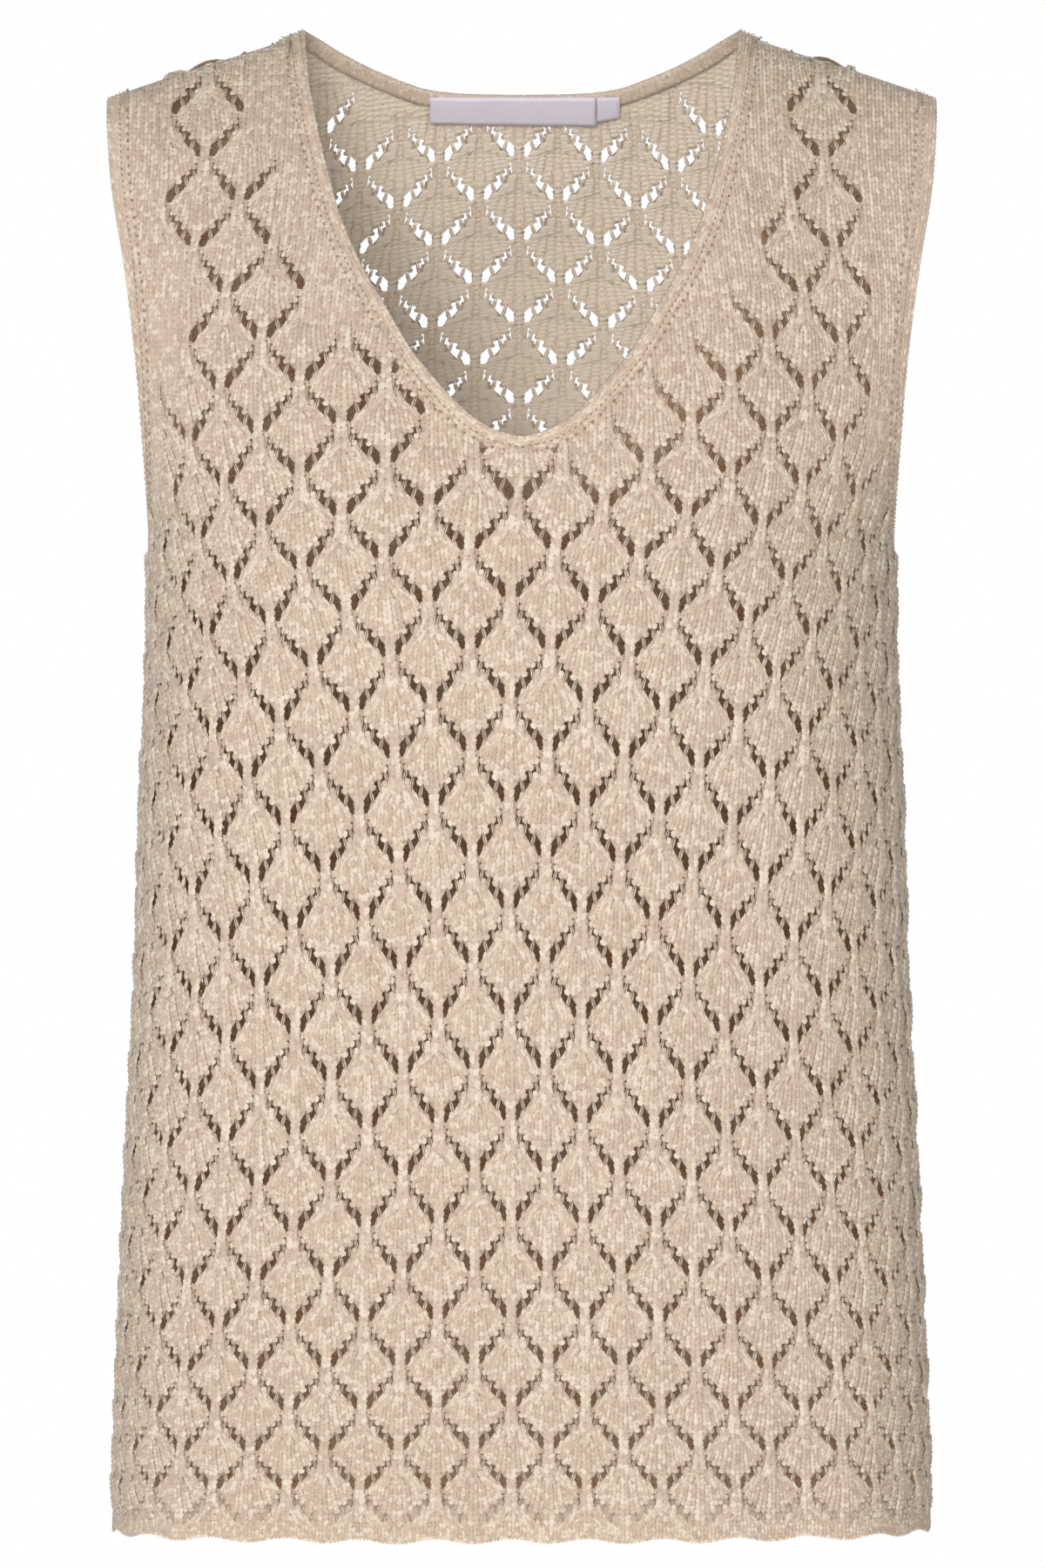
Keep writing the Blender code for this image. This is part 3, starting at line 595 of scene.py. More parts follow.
class Fabric:
    # everything that a panel's pieces share: the grid of stitches, its surface, its edges
    def __init__(self, panel):
        self.panel = panel
        self.iLow, self.iHigh = -lastStitch - 1, lastStitch + 1
        self.jLow, self.jHigh = -1, gauge["lastRow"] + 4
        self.i, self.j = np.meshgrid(np.arange(self.iLow, self.iHigh + 1),
                                     np.arange(self.jLow, self.jHigh + 1), indexing="ij")
        shape = self.i.shape
        column = np.clip(self.i / leafWide, -gauge["leafColumns"], gauge["leafColumns"]).ravel()
        across, drop = latticePoint(panel, column, self.j.ravel())
        drop = np.clip(drop, 0.0, bodyEnd)
        shoulder = shoulderDrop(surface(panel, across, drop)[:, 0])
        self.aboveShoulder = (drop < shoulder).reshape(shape)
        drop = np.maximum(drop, shoulder + edges["offShoulder"])
        self.flat = np.stack([across, drop], axis=1).reshape(*shape, 2)
        self.point = surface(panel, across, drop).reshape(*shape, 3)
        self.normal = outward(panel, across, drop).reshape(*shape, 3)
        self.setEdges()
        self.setLace()

    def setEdges(self):
        # edge and seam of each band, and the outline of the cloth inside the seams
        self.lines = {}
        for side, word in ((1.0, "right"), (-1.0, "left")):
            self.lines["arm" + word] = armholeEdge(self.panel, side)
            self.lines["neck" + word] = neckEdge(self.panel, side)
        rightArm, leftArm = self.lines["armright"][1], self.lines["armleft"][1]
        rightNeck, leftNeck = self.lines["neckright"][1], self.lines["neckleft"][1]
        far, top, low = edges["farOut"], edges["overTop"], cut["length"] + edges["underHem"]
        under = cut["underarmDrop"] + cut["armBand"]
        self.outline = np.concatenate([[(-far, low), (far, low), (far, under)], rightArm[::-1],
                                       [(rightArm[0, 0], top), (rightNeck[0, 0], top)], rightNeck,
                                       leftNeck[::-1][1:], [(leftNeck[0, 0], top), (leftArm[0, 0], top)],
                                       leftArm, [(-far, under)]])
        self.neckLine = np.concatenate([rightNeck, leftNeck[::-1]])

    def setLace(self):
        # which stitches are lace, judged for each half leaf, then each one's place, kind, width and rise
        self.firstTip = gauge["firstTip" if self.panel == "front" else "backFirstTip"]
        column, out, side, rowIn, number = leafLocal(self.i, self.j, self.firstTip)
        self.side, self.out, self.rowIn = side, out, rowIn
        tipRow = self.firstTip + halfLeaf * number
        columnsOut, rowsUp = leaf["judgedAt"]
        spots = latticePoint(self.panel, (column + side * columnsOut).ravel(), (tipRow + rowsUp).ravel())
        flat = np.stack([spots[0], np.clip(spots[1], 0.0, bodyEnd)], axis=1)
        x = np.abs(surface(self.panel, flat[:, 0], flat[:, 1])[:, 0])
        lace = x < smoothLookup(laceLimit[self.panel], flat[:, 1])
        lace &= awayFrom(flat, self.neckLine) > smoothLookup(plainByNeck[self.panel], flat[:, 1])
        lace &= (tipRow.ravel() > 0) & (flat[:, 1] > leaf["belowShoulder"])
        self.lace = lace.reshape(self.i.shape)
        across, up = leafPlaces[rowIn, out].transpose(2, 0, 1)
        drawn = np.stack([leafWide * column + side * across, tipRow + up], axis=-1)
        plain = np.stack([self.i, self.j], axis=-1).astype(float)
        weight = self.lace.astype(float)
        soft = weight.copy()
        for _ in range(leaf["softSteps"]):
            soft[1:-1, 1:-1] = (soft[:-2, 1:-1] + soft[2:, 1:-1] + soft[1:-1, :-2] + soft[1:-1, 2:]) / 4
            soft = np.where(self.lace, 1.0, soft * leaf["softFade"])
        self.place = plain + (drawn - plain) * soft[..., None]
        step = rowIn // 2
        worked = self.lace & (rowIn % 2 == 0)
        self.kind = np.full(self.i.shape, plainKnit)
        self.kind[worked & (out == step + 1)] = yarnOver
        self.kind[worked & (out > step + 1) & (out < leafWide)] = slanted
        self.kind[worked & (out == leafWide)] = doubleDecrease
        apart = np.diff(self.place, axis=0)
        apart = np.hypot(apart[..., 0], apart[..., 1] * knit["rowShare"])
        self.spacing = np.ones(self.i.shape)
        self.spacing[1:-1] = np.clip(np.minimum(apart[:-1], apart[1:]), *knit["widthLimits"])
        crownX, crownY = leaf["crownHalf"]
        fromCrown = np.hypot(across / crownX, (up - leaf["crownRow"]) / crownY)
        rise = np.clip(1.0 - fromCrown ** 2, 0.0, 1.0) * leaf["crownRise"]
        fromSpine = self.place[..., 0] - np.round(self.place[..., 0] / leafWide) * leafWide
        spine = np.exp(-(fromSpine / leaf["spineHalf"]) ** 2)
        rise += leaf["spineRise"] * spine * np.where(out > 2, 1.0, leaf["footShare"])
        (eyeX, eyeY), (halfX, halfY) = leaf["eyeletAt"], leaf["eyeletHalf"]
        nearEyelet = np.exp(-(((out - eyeX - step) / halfX) ** 2 + ((up - step * eyeY) / halfY) ** 2))
        self.rise = (rise - leaf["eyeletSink"] * nearEyelet) * weight

    def sample(self, grid, x, y):
        # bilinear value of a grid at stitch x, row y
        u = np.clip(x - self.iLow, 0, grid.shape[0] - 1.001)
        v = np.clip(y - self.jLow, 0, grid.shape[1] - 1.001)
        a, b = np.floor(u).astype(int), np.floor(v).astype(int)
        fu, fv = (u - a), (v - b)
        if grid.ndim == 3:
            fu, fv = fu[..., None], fv[..., None]
        return ((grid[a, b] * (1 - fu) + grid[a + 1, b] * fu) * (1 - fv)
                + (grid[a, b + 1] * (1 - fu) + grid[a + 1, b + 1] * fu) * fv)

    def stored(self, grid, i, j):
        # value of a grid at whole stitches and rows
        return grid[i - self.iLow, j - self.jLow]

    def openEyelets(self, x, y):
        # cloth and yarns are pushed aside round the lowest eyelet of each leaf
        (centreX, centreY), (halfX, halfY) = leaf["openAt"], leaf["openHalf"]
        column = np.round(x / leafWide)
        side = np.where(x < leafWide * column, -1, 1)
        first = self.firstTip + np.where(column % 2 == 1, 0, halfLeaf)
        tipRow = first + 2 * halfLeaf * np.round((y - centreY - first) / (2 * halfLeaf))
        i = np.clip(leafWide * column + side, self.iLow, self.iHigh).astype(int)
        j = np.clip(tipRow, self.jLow, self.jHigh).astype(int)
        isOpen = (self.stored(self.kind, i, j) == yarnOver) & (tipRow > leaf["shutRows"])
        neckColumn, neckRow, wider = leaf["neckPair"]
        size = np.where((self.panel == "front") & (column == neckColumn) & (tipRow == neckRow), wider, 1.0)
        u = (x - leafWide * column - side * centreX) / (halfX * size)
        v = (y - tipRow - centreY) / (halfY * size)
        away = np.maximum(np.hypot(u, v), 0.05)
        grow = np.where(isOpen, np.cbrt(1 + away ** 3) / away - 1, 0.0) * size
        return x + u * grow * halfX, y + v * grow * halfY

    def at(self, x, y, lift):
        # points over the cloth at stitch x, row y
        x, y = self.openEyelets(x, y)
        point = self.sample(self.point, x, y)
        normal = self.sample(self.normal, x, y)
        normal /= np.linalg.norm(normal, axis=-1)[..., None]
        return point + normal * lift[..., None]

    def normalAt(self, place):
        normal = self.sample(self.normal, place[:, 0], place[:, 1])
        return normal / np.linalg.norm(normal, axis=1)[:, None]

    def inside(self, x, y, past=0.0):
        # which places lie on the panel, or this far past its seams
        flat = self.sample(self.flat, x, y).reshape(-1, 2)
        keep = within(flat, self.outline)
        if past > 0.0:
            keep |= awayFrom(flat, np.concatenate([self.outline, self.outline[:1]])) < past
        keep &= flat[:, 1] > 0.0
        return keep.reshape(np.shape(x))


# a yarn's points: its base, two rows of left and right, the ridge and its head
legFaces = np.array([(0, 2, 5), (0, 5, 1), (1, 5, 3), (2, 4, 5), (3, 5, 6), (4, 6, 5)])
strandFaces = np.array([(0, 2, 3), (0, 3, 1), (0, 1, 2), (4, 3, 2), (4, 1, 3), (4, 2, 1)])
legMap = np.array([(0.08, 0.5), (0.35, 0.1), (0.35, 0.9), (0.7, 0.1), (0.7, 0.9), (0.5, 0.5), (0.92, 0.5)])
strandMap = np.array([(0.08, 0.5), (0.5, 0.1), (0.5, 0.9), (0.5, 0.5), (0.92, 0.5)])
# along a leg where its low and high rows and its ridge lie, how deep the rows sink, the low row's width
leg = {"low": 0.30, "high": 0.72, "ridge": 0.48, "lowSink": 0.55, "highSink": 0.45, "lowHalf": 0.92}
strandSink = 0.4


def yarnFrame(base, head, axis):
    # a yarn's run and the way across it
    run = head - base
    across = np.cross(axis, run)
    across /= np.maximum(np.linalg.norm(across, axis=1)[:, None], 1e-9)
    return run, across


def legs(base, head, axis, half, thick):
    # yarns that lie on the cloth, full in the middle: 7 points and 6 faces each
    run, across = yarnFrame(base, head, axis)
    half, thick = half[:, None], thick[:, None]
    low = base + run * leg["low"] - axis * thick * leg["lowSink"]
    high = base + run * leg["high"] - axis * thick * leg["highSink"]
    ridge = base + run * leg["ridge"] + axis * thick
    lowHalf = half * leg["lowHalf"]
    points = np.stack([base, low - across * lowHalf, low + across * lowHalf,
                       high - across * half, high + across * half, ridge, head], axis=1)
    return points, legFaces, legMap


def strands(base, head, axis, half, thick):
    # yarns that cross a gap, closed all round: 5 points and 6 faces each
    run, across = yarnFrame(base, head, axis)
    half, thick = half[:, None], thick[:, None]
    middle = base + run * 0.5
    under = middle - axis * thick * strandSink
    points = np.stack([base, under - across * half, under + across * half, middle + axis * thick, head],
                      axis=1)
    return points, strandFaces, strandMap


class YarnPile:
    # collects yarns of both kinds and makes one mesh of them
    def __init__(self, seed):
        self.rng = np.random.default_rng(seed)
        self.points, self.faces, self.maps, self.shades, self.yarns = [], [], [], [], []
        self.pointCount = 0
        self.yarnCount = 0

    def add(self, shape, base, head, axis, half, thick, shade=None):
        if not len(base):
            return
        half = np.full(len(base), half) * self.rng.uniform(*knit["unevenHalf"], len(base))
        thick = np.full(len(base), thick) * self.rng.uniform(*knit["unevenThick"], len(base))
        points, faces, places = shape(base, head, axis, half, thick)
        n, k = points.shape[:2]
        self.faces.append((faces[None] + self.pointCount + k * np.arange(n)[:, None, None]).reshape(-1, 3))
        self.points.append(points.reshape(-1, 3))
        shades = self.rng.uniform(0.0, 1.0, n) if shade is None else np.full(n, shade)
        self.shades.append(np.repeat(shades, k))
        self.maps.append(np.broadcast_to(places[faces], (n, *faces.shape, 2)).reshape(-1, 2))
        self.yarns.append(np.repeat(np.arange(n) + self.yarnCount, faces.size))
        self.pointCount += n * k
        self.yarnCount += n

    def finish(self, name, node, material=yarnMaterial):
        # each yarn has its own square of the bake map
        yarn = np.concatenate(self.yarns)
        across = int(math.ceil(math.sqrt(self.yarnCount)))
        spot = np.stack([yarn % across, yarn // across], axis=1)
        cells = (spot + np.concatenate(self.maps)) / across
        faces = np.concatenate(self.faces)
        print(name, len(faces), "triangles")
        return addPiece(name, np.concatenate(self.points), faces, material, node,
                        np.concatenate(self.shades), cells)


def makeStitches(fabric, name, rowFrom, rowTo, seed):
    # two yarns to a stitch, and two beside each eyelet
    pile = YarnPile(seed)
    i, j = fabric.i[1:-1, 1:], fabric.j[1:-1, 1:]
    inRows = (j >= rowFrom) & (j < rowTo)
    allI, allJ = i[inRows], j[inRows]
    grids = (fabric.side, fabric.kind, fabric.out, fabric.rowIn, fabric.lace)
    side, kind, out, rowIn, lace = (fabric.stored(grid, allI, allJ) for grid in grids)
    lace &= kind == plainKnit
    # the two wales beside a leaf's foot are pulled wide
    wide = lace & (((out == 1) & (rowIn < 4)) | ((out == 2) & (rowIn == 3)))
    # beside a spine the stitches run down and outwards
    fan = lace & (out > rowIn // 2 + 1) & (out < leafWide)
    lean = np.where(fan, -knit["lean"] * side, 0.0)

    def add(shape, pick, e, aside, run, down=1):
        # each yarn starts so many stitches aside and rows down from its head
        baseShift, headShift, half, lifts = stitchRuns[run]
        i, j, back = allI[pick], allJ[pick], np.broadcast_to(aside, len(allI))[pick]
        wider = fabric.stored(fabric.spacing, i, j) if shape is legs else np.ones(len(i))
        spread = np.stack([e * wider, np.ones(len(i))], axis=1)
        low = fabric.stored(fabric.place, i + back, j - down) + np.array(baseShift) * spread
        low[:, 0] += lean[pick]
        high = fabric.stored(fabric.place, i, j) + np.array(headShift) * spread
        middle = (low + high) / 2
        keep = fabric.inside(middle[:, 0], middle[:, 1], knit["past"])
        keep &= ~fabric.stored(fabric.aboveShoulder, i, j) & (np.abs(middle[:, 0]) < lastStitch)
        i, j, back, low, high = i[keep], j[keep], back[keep], low[keep], high[keep]
        lowRise = fabric.stored(fabric.rise, i + back, j - down)
        highRise = fabric.stored(fabric.rise, i, j)
        base = fabric.at(low[:, 0], low[:, 1], lowRise + lifts[0])
        head = fabric.at(high[:, 0], high[:, 1], highRise + lifts[1])
        pile.add(shape, base, head, fabric.normalAt(high), half * knit["stitch"] * wider[keep],
                 knit["thick"])

    for e in (-1, 1):
        add(legs, (kind == plainKnit) & ~wide, e, 0, "plain")
        add(legs, wide, e, 0, "wide")
        add(legs, kind == slanted, e, -side, "plain")
        add(legs, kind == doubleDecrease, e, 0, "double")
        add(legs, kind == doubleDecrease, e, e, "doubleSide")
        # the yarn thrown over the needle stands beside its eyelet
        add(strands, kind == yarnOver, e, side, "thrown", down=0)
    return pile.finish(name, fabric.panel + "_panel")


studio = {
    "floorDrop": 0.86,
    "floorHalf": 2.0,
    "floorColour": "#f4f2ef",
    "floorRoughness": 0.9,
    "cameraAway": 4.5,
    "cameraDrop": 0.301,
    "cameraX": 0.0003,
    "frameHeight": 0.6228,  # of the photograph, at the origin's plane
    "sensor": 36.0,
    "roomLight": 0.28,
    "lightAim": (0, 0, -0.3),
}
neckView = {"top": 0.5, "fade": 10 * mm}    # how high the neck's outline is closed, and its soft edge


def seenAt(points):
    # where points lie in the view from the front
    away = studio["cameraAway"] / (studio["cameraAway"] + points[:, 1:2])
    return (points[:, (0, 2)] + (0.0, studio["cameraDrop"])) * away


def throughNeck(points):
    # 1 where the front view shows a point of the back inside the neck, fading to 0 outside it
    right, left = (fabrics["front"].lines["neck" + word][0] for word in ("right", "left"))
    rim = seenAt(surface("front", *np.concatenate([right, left[::-1]]).T))
    rim = np.concatenate([[(rim[0, 0], neckView["top"])], rim, [(rim[-1, 0], neckView["top"])]])
    seen = seenAt(points)
    away = awayFrom(seen, np.concatenate([rim, rim[:1]]))
    return np.clip(1.0 + np.where(within(seen, rim), away, -away) / neckView["fade"], 0.0, 1.0)


sheetCloth = {
    "lift": -0.60 * mm,     # from the panel's outer face
    "past": 2.5 * mm,       # how far it runs under the bands
    "behind": (3.2 * mm, 4.8 * mm),     # back eyelets this near a front one in the front view stay shut
    "seed": 5,
    # painted shade: the sheet shows deep brown between the stitches and through the eyelets, and painted
    # light makes it pale inside the back where the neck shows it
    "shade": {"front": -0.25, "back": -0.55},
    "unevenShade": 0.3,
    "neckPaintedLight": 1.2,
    "bakeCells": 270,
}


def makeSheet(fabric, frontGaps=None):
    # the cloth behind the stitches, open at the eyelets, and where they lie in the front view
    name = fabric.panel + "_lace_sheet"
    x, y = np.clip(fabric.place[..., 0], -lastStitch, lastStitch), fabric.place[..., 1]
    points = fabric.at(x, y, fabric.rise + sheetCloth["lift"]).reshape(-1, 3)
    index = np.arange(x.size).reshape(x.shape)
    a, b, c, d = index[:-1, :-1], index[1:, :-1], index[1:, 1:], index[:-1, 1:]
    over = (fabric.kind == yarnOver) & (fabric.j > leaf["shutRows"])
    overC, overD = over[1:, 1:], over[:-1, 1:]
    # each square is two triangles, and an eyelet takes the one below its thrown yarn on either side
    low = np.where(overC[..., None], np.stack([a, b, c], -1), np.stack([a, b, d], -1))
    high = np.where(overC[..., None], np.stack([a, c, d], -1), np.stack([b, c, d], -1))
    # the topmost gap of a leaf's side is narrow, on the leaf's own side only
    narrow = fabric.out == leafWide - 1
    gap = overC & (~narrow | (fabric.side > 0))[1:, 1:]
    gap |= overD & (~narrow | (fabric.side < 0))[:-1, 1:]
    gapPoint = points[np.where(overC, c, d)]
    if frontGaps is not None:
        seen = seenAt(gapPoint.reshape(-1, 3)).reshape(*gap.shape, 2)
        for i, j in np.argwhere(gap):
            near = np.abs(frontGaps - seen[i, j]) < sheetCloth["behind"]
            if near.all(axis=1).any():
                gap[i, j] = False
    middleX, middleY = ((g[:-1, :-1] + g[1:, 1:] + g[1:, :-1] + g[:-1, 1:]) / 4 for g in (x, y))
    keep = fabric.inside(middleX, middleY, sheetCloth["past"]) & (np.abs(middleX) < lastStitch)
    above = fabric.aboveShoulder
    keep &= (fabric.j[:-1, :-1] >= 0) & ~(above[:-1, :-1] & above[1:, 1:] & above[1:, :-1] & above[:-1, 1:])
    faces = np.concatenate([low[keep & ~gap], high[keep]])
    if fabric.panel == "back":
        faces = faces[:, ::-1]
    used = np.unique(faces)
    remap = np.zeros(len(points), dtype=int)
    remap[used] = np.arange(len(used))
    faces = remap[faces]
    # painted shade: the sheet's shades sit low on the yarn's ramp, so it shows deep brown between the
    # stitches and through the eyelets
    rng = np.random.default_rng(sheetCloth["seed"])
    shade = rng.uniform(0.0, sheetCloth["unevenShade"], len(used)) + sheetCloth["shade"][fabric.panel]
    # painted light: where the neck shows the back's inside, its sheet is lifted towards the pale end of the
    # ramp
    if fabric.panel == "back":
        shade += sheetCloth["neckPaintedLight"] * throughNeck(points[used])
    span = np.stack([fabric.i.ravel() - fabric.iLow, fabric.j.ravel() - fabric.jLow], axis=1)[used]
    print(name, len(faces), "triangles")
    piece = addPiece(name, points[used], faces, yarnMaterial, fabric.panel + "_panel", shade,
                     (span / sheetCloth["bakeCells"])[faces.ravel()])
    return piece, seenAt(gapPoint[gap & keep])


purl = {
    "base": (0.66, 0.06),   # in stitches and rows from its stitch's place
    "head": (-0.66, -0.3),
    "half": 1.15 * mm,
    "thick": 0.8 * mm,
    "lift": -0.1 * mm,      # from the sheet
    # painted light: the purls take the palest colour on the ramp, so the inside of the back seen through the
    # neck reads as bright as the front
    "shade": 1.2,
    "stitchesOut": 45,      # the neck shows none farther from the centre
    "seen": 0.3,            # how much of the soft edge of the neck's view has them
}


def makePurls(fabric, rowFrom, seed):
    # the bumps of the plain side, where the neck shows it
    pile = YarnPile(seed)
    pick = (fabric.j >= rowFrom) & (np.abs(fabric.i) < purl["stitchesOut"])
    pick &= (fabric.kind != yarnOver) & ~fabric.aboveShoulder
    if fabric.panel == "back":
        pick &= throughNeck(fabric.point.reshape(-1, 3)).reshape(pick.shape) > purl["seen"]
    place = fabric.place[pick]
    keep = fabric.inside(place[:, 0], place[:, 1])
    place = place[keep]
    lift = fabric.rise[pick][keep] + sheetCloth["lift"] + purl["lift"]
    base, head = (fabric.at(*(place + purl[end]).T, lift) for end in ("base", "head"))
    pile.add(legs, base, head, -fabric.normalAt(place), purl["half"], purl["thick"], purl["shade"])
    return pile.finish(fabric.panel + "_purl_bumps", fabric.panel + "_panel")


bandKnit = {
    "strips": 6,                # from the seam to the edge
    "samePoint": 0.9 * mm,      # points of the path nearer than this are one
    "flatEnd": 1.0 * mm,        # ends this near the shoulder line face straight out
    "bow": 0.25 * mm,
    "sink": 0.55 * mm,
    "inner": 0.95,              # how deep in the wall its inner face lies
    "turnedIn": 2.6 * mm,       # width of the strip that is turned into the seam and doesn't show
    "wales": 3,
    "pitch": 2.7 * mm,
    "legRun": 1.45,             # runs along the band are in pitches
    "legHalf": 0.27,            # in wales
    "legBase": (0.28, 0.15 * mm),       # in half wales from the wale's centre, and lift
    "legHead": (0.62, -0.5 * mm),
    # the pick-up stitches leave a groove along the seam; its small gaps, and shallow ones between the
    # wales, are short dark strands of painted shade: share of the width, from one to the next, half width
    "seamDepth": 0.5 * mm,
    "gaps": ((0.02, 3.9 * mm, 0.62 * mm), (0.36, None, 0.34 * mm)),
    "gapRun": 1.7 * mm,
    "gapLift": 0.62 * mm,
    "gapThick": 0.3 * mm,
    "gapPaintedShade": -0.4,
    # purl bumps of the plain side: share of the width, half length as a share of it
    "purls": (0.2, 0.5, 0.8),
    "purlReach": 0.13,
    "purlDepth": 0.9,           # in walls
    "purlHalf": 0.95 * mm,
    "purlThick": 0.5 * mm,
    # a chain over the edge: share of the width and lift of base and head
    "chain": ((0.97, -0.3 * mm), (0.99, -1.3 * mm)),
    "chainRun": 1.25,
    "chainHalf": 0.75 * mm,
    "chainThick": 0.6 * mm,
}


class BandPath:
    # the band's outer face as rows of points from the seam to the edge, read by length along it
    def __init__(self, parts, width):
        sections, normals = [], []
        for panel, edge, seam in parts:
            seamNear = seam + (edge - seam) * (cut["gap"] / 2 / width)
            depth = np.abs(surface(panel, edge[:, 0], edge[:, 1])[:, 1])
            rows, outs = [], []
            for share in np.linspace(0.0, 1.0, bandKnit["strips"] + 1):
                line = seamNear + (edge - seamNear) * share
                n = outward(panel, line[:, 0], line[:, 1])
                for i in (0, len(edge) - 1):
                    if depth[i] < bandKnit["flatEnd"]:
                        n[i, 1] = 0.0
                        n[i] /= np.linalg.norm(n[i])
                rows.append(surface(panel, line[:, 0], line[:, 1]))
                outs.append(n)
            sections.append(np.array(rows).transpose(1, 0, 2))
            normals.append(np.array(outs).transpose(1, 0, 2))
        sections, normals = np.concatenate(sections), np.concatenate(normals)
        keep = [0]
        for i in range(1, len(sections)):
            if np.linalg.norm(sections[i] - sections[keep[-1]], axis=1).max() > bandKnit["samePoint"]:
                keep.append(i)
        if np.linalg.norm(sections[keep[-1]] - sections[0], axis=1).max() < bandKnit["samePoint"]:
            keep.pop()
        keep.append(0)
        self.face, self.out = sections[keep], normals[keep]
        middle = self.face[:, bandKnit["strips"] // 2]
        self.run = np.concatenate([[0.0], np.cumsum(np.linalg.norm(np.diff(middle, axis=0), axis=1))])
        self.length = self.run[-1]

    def read(self, values, at):
        # a row of points or normals at each length
        flat = values.reshape(len(values), -1)
        at = np.asarray(at) % self.length
        return np.stack([np.interp(at, self.run, flat[:, k]) for k in range(flat.shape[1])],
                        axis=1).reshape(len(at), *values.shape[1:])

    def at(self, at, share, lift):
        # a point across the band: share is 0 at the seam and 1 at the edge
        face, out = self.read(self.face, at), self.read(self.out, at)
        strips = bandKnit["strips"]
        k = int(min(math.floor(share * strips), strips - 1))
        f = share * strips - k
        n = out[:, k] * (1 - f) + out[:, k + 1] * f
        n /= np.linalg.norm(n, axis=1)[:, None]
        return face[:, k] * (1 - f) + face[:, k + 1] * f + n * lift, n


def makeBandCloth(name, path, count, seed):
    # a closed tube, bowed on its outer face and flat inside
    strips = bandKnit["strips"]
    fine = np.arange(count * 2) * (path.length / count) / 2
    profile = []
    for k in range(strips + 1):
        lift = bandKnit["bow"] * math.sin(math.pi * k / strips) - bandKnit["sink"]
        profile.append(path.at(fine, k / strips, lift - bandKnit["seamDepth"] * (k == 0))[0])
    for k in range(strips, -1, -2):
        profile.append(path.at(fine, k / strips, -cut["wall"] * bandKnit["inner"])[0])
    profile = np.stack(profile, axis=1)
    n, m = profile.shape[:2]
    i, k = (grid.ravel() for grid in np.meshgrid(np.arange(n), np.arange(m), indexing="ij"))
    corners = [(i, k), (i + 1, k), (i + 1, k + 1), (i, k + 1)]
    quads = np.stack([(a % n) * m + b % m for a, b in corners], axis=1)
    cells = np.stack([np.stack([a / n, b / m], axis=1) for a, b in corners], axis=1)
    shade = np.random.default_rng(seed).uniform(0.2, 0.8, n * m)
    return addPiece(name + "_cloth", profile.reshape(-1, 3), quads, yarnMaterial, name,
                    shade, cells)


def makeBand(name, parts, width, seed):
    # a knitted band: a closed tube of cloth, with wales of stitches along it
    path = BandPath(parts, width)
    count = int(round(path.length / bandKnit["pitch"]))
    pitch = path.length / count
    tube = makeBandCloth(name, path, count, seed)
    pile = YarnPile(seed + 1)
    s = np.arange(count) * pitch
    wales = bandKnit["wales"]
    for wale in range(wales):
        at = s + pitch * 0.5 * (wale % 2)
        for e in (-1, 1):
            (baseOut, baseLift), (headOut, headLift) = bandKnit["legBase"], bandKnit["legHead"]
            base, axis = path.at(at, (wale + 0.5 + e * 0.5 * baseOut) / wales, baseLift)
            head = path.at(at + pitch * bandKnit["legRun"], (wale + 0.5 + e * 0.5 * headOut) / wales,
                           headLift)[0]
            pile.add(legs, base, head, axis, width / wales * bandKnit["legHalf"], knit["thick"])
    # short dark strands of painted shade in the gaps along the seam and between the wales
    for share, every, half in bandKnit["gaps"]:
        every = every or pitch
        spots = np.arange(0.0, path.length - every, every)
        base, axis = path.at(spots, share, bandKnit["gapLift"])
        head = path.at(spots + bandKnit["gapRun"], share, bandKnit["gapLift"])[0]
        pile.add(strands, base, head, axis, half, bandKnit["gapThick"], bandKnit["gapPaintedShade"])
    for k, share in enumerate(bandKnit["purls"]):
        at = s + pitch * 0.5 * (k % 2)
        depth, reach = -cut["wall"] * bandKnit["purlDepth"], bandKnit["purlReach"]
        base, axis = path.at(at, share - reach, depth)
        head = path.at(at, share + reach, depth)[0]
        pile.add(legs, base, head, -axis, bandKnit["purlHalf"], bandKnit["purlThick"])
    chainBase, chainHead = bandKnit["chain"]
    base, axis = path.at(s, *chainBase)
    head = path.at(s + pitch * bandKnit["chainRun"], *chainHead)[0]
    pile.add(strands, base, head, axis, bandKnit["chainHalf"], bandKnit["chainThick"])
    threads = pile.finish(name + "_stitches", name)


castOn = {
    "every": 0.5,               # in stitches
    "base": (-0.42, -0.35),     # in stitches and rows
    "head": (0.42, 0.75),
    "lifts": (-0.6 * mm, -0.5 * mm),
    "half": 0.75 * mm,
    "thick": 0.9 * mm,
}


def makeHem(fabric, seed):
    # the cast-on edge: a chain of short slanting loops under the first row
    pile = YarnPile(seed)
    i = np.arange(0.5 - lastStitch, lastStitch, castOn["every"])
    low, high = (np.stack([i + across, np.full(len(i), up)], axis=1) for across, up in
                 (castOn["base"], castOn["head"]))
    base = fabric.at(*low.T, np.full(len(i), castOn["lifts"][0]))
    head = fabric.at(*high.T, np.full(len(i), castOn["lifts"][1]))
    pile.add(strands, base, head, fabric.normalAt(low), castOn["half"], castOn["thick"])
    return pile.finish(fabric.panel + "_cast_on_edge", fabric.panel + "_panel")


# labels inside the back neck: name, from, to, top drop, height, thickness, how far the foot leans down
labels = (
    ("neck_label", -0.0368, 0.0297, 0.0246, 0.0102, 0.6 * mm, 0.9 * mm),
    ("size_tab", 0.0301, 0.0394, 0.0246, 0.0096, 0.5 * mm, -1.6 * mm),
)
labelForm = {
    "rows": 8,
    "columnWidth": 1.2 * mm,
    "fewestColumns": 6,
    "bow": 0.25 * mm,
    "ripple": 0.12 * mm,
    "rippleTurn": 260,          # radians a metre
    "turnIn": 1.4 * mm,         # stitch line from each end
    "stitches": ((0.1, 0.55), (0.6, 1.05)),     # along each row
    "stitchHalf": 0.2 * mm,
    "stitchThick": 0.16 * mm,
    "seed": 61,
    "smallestFlat": 10.2 * mm,  # the ribbon's own width
}


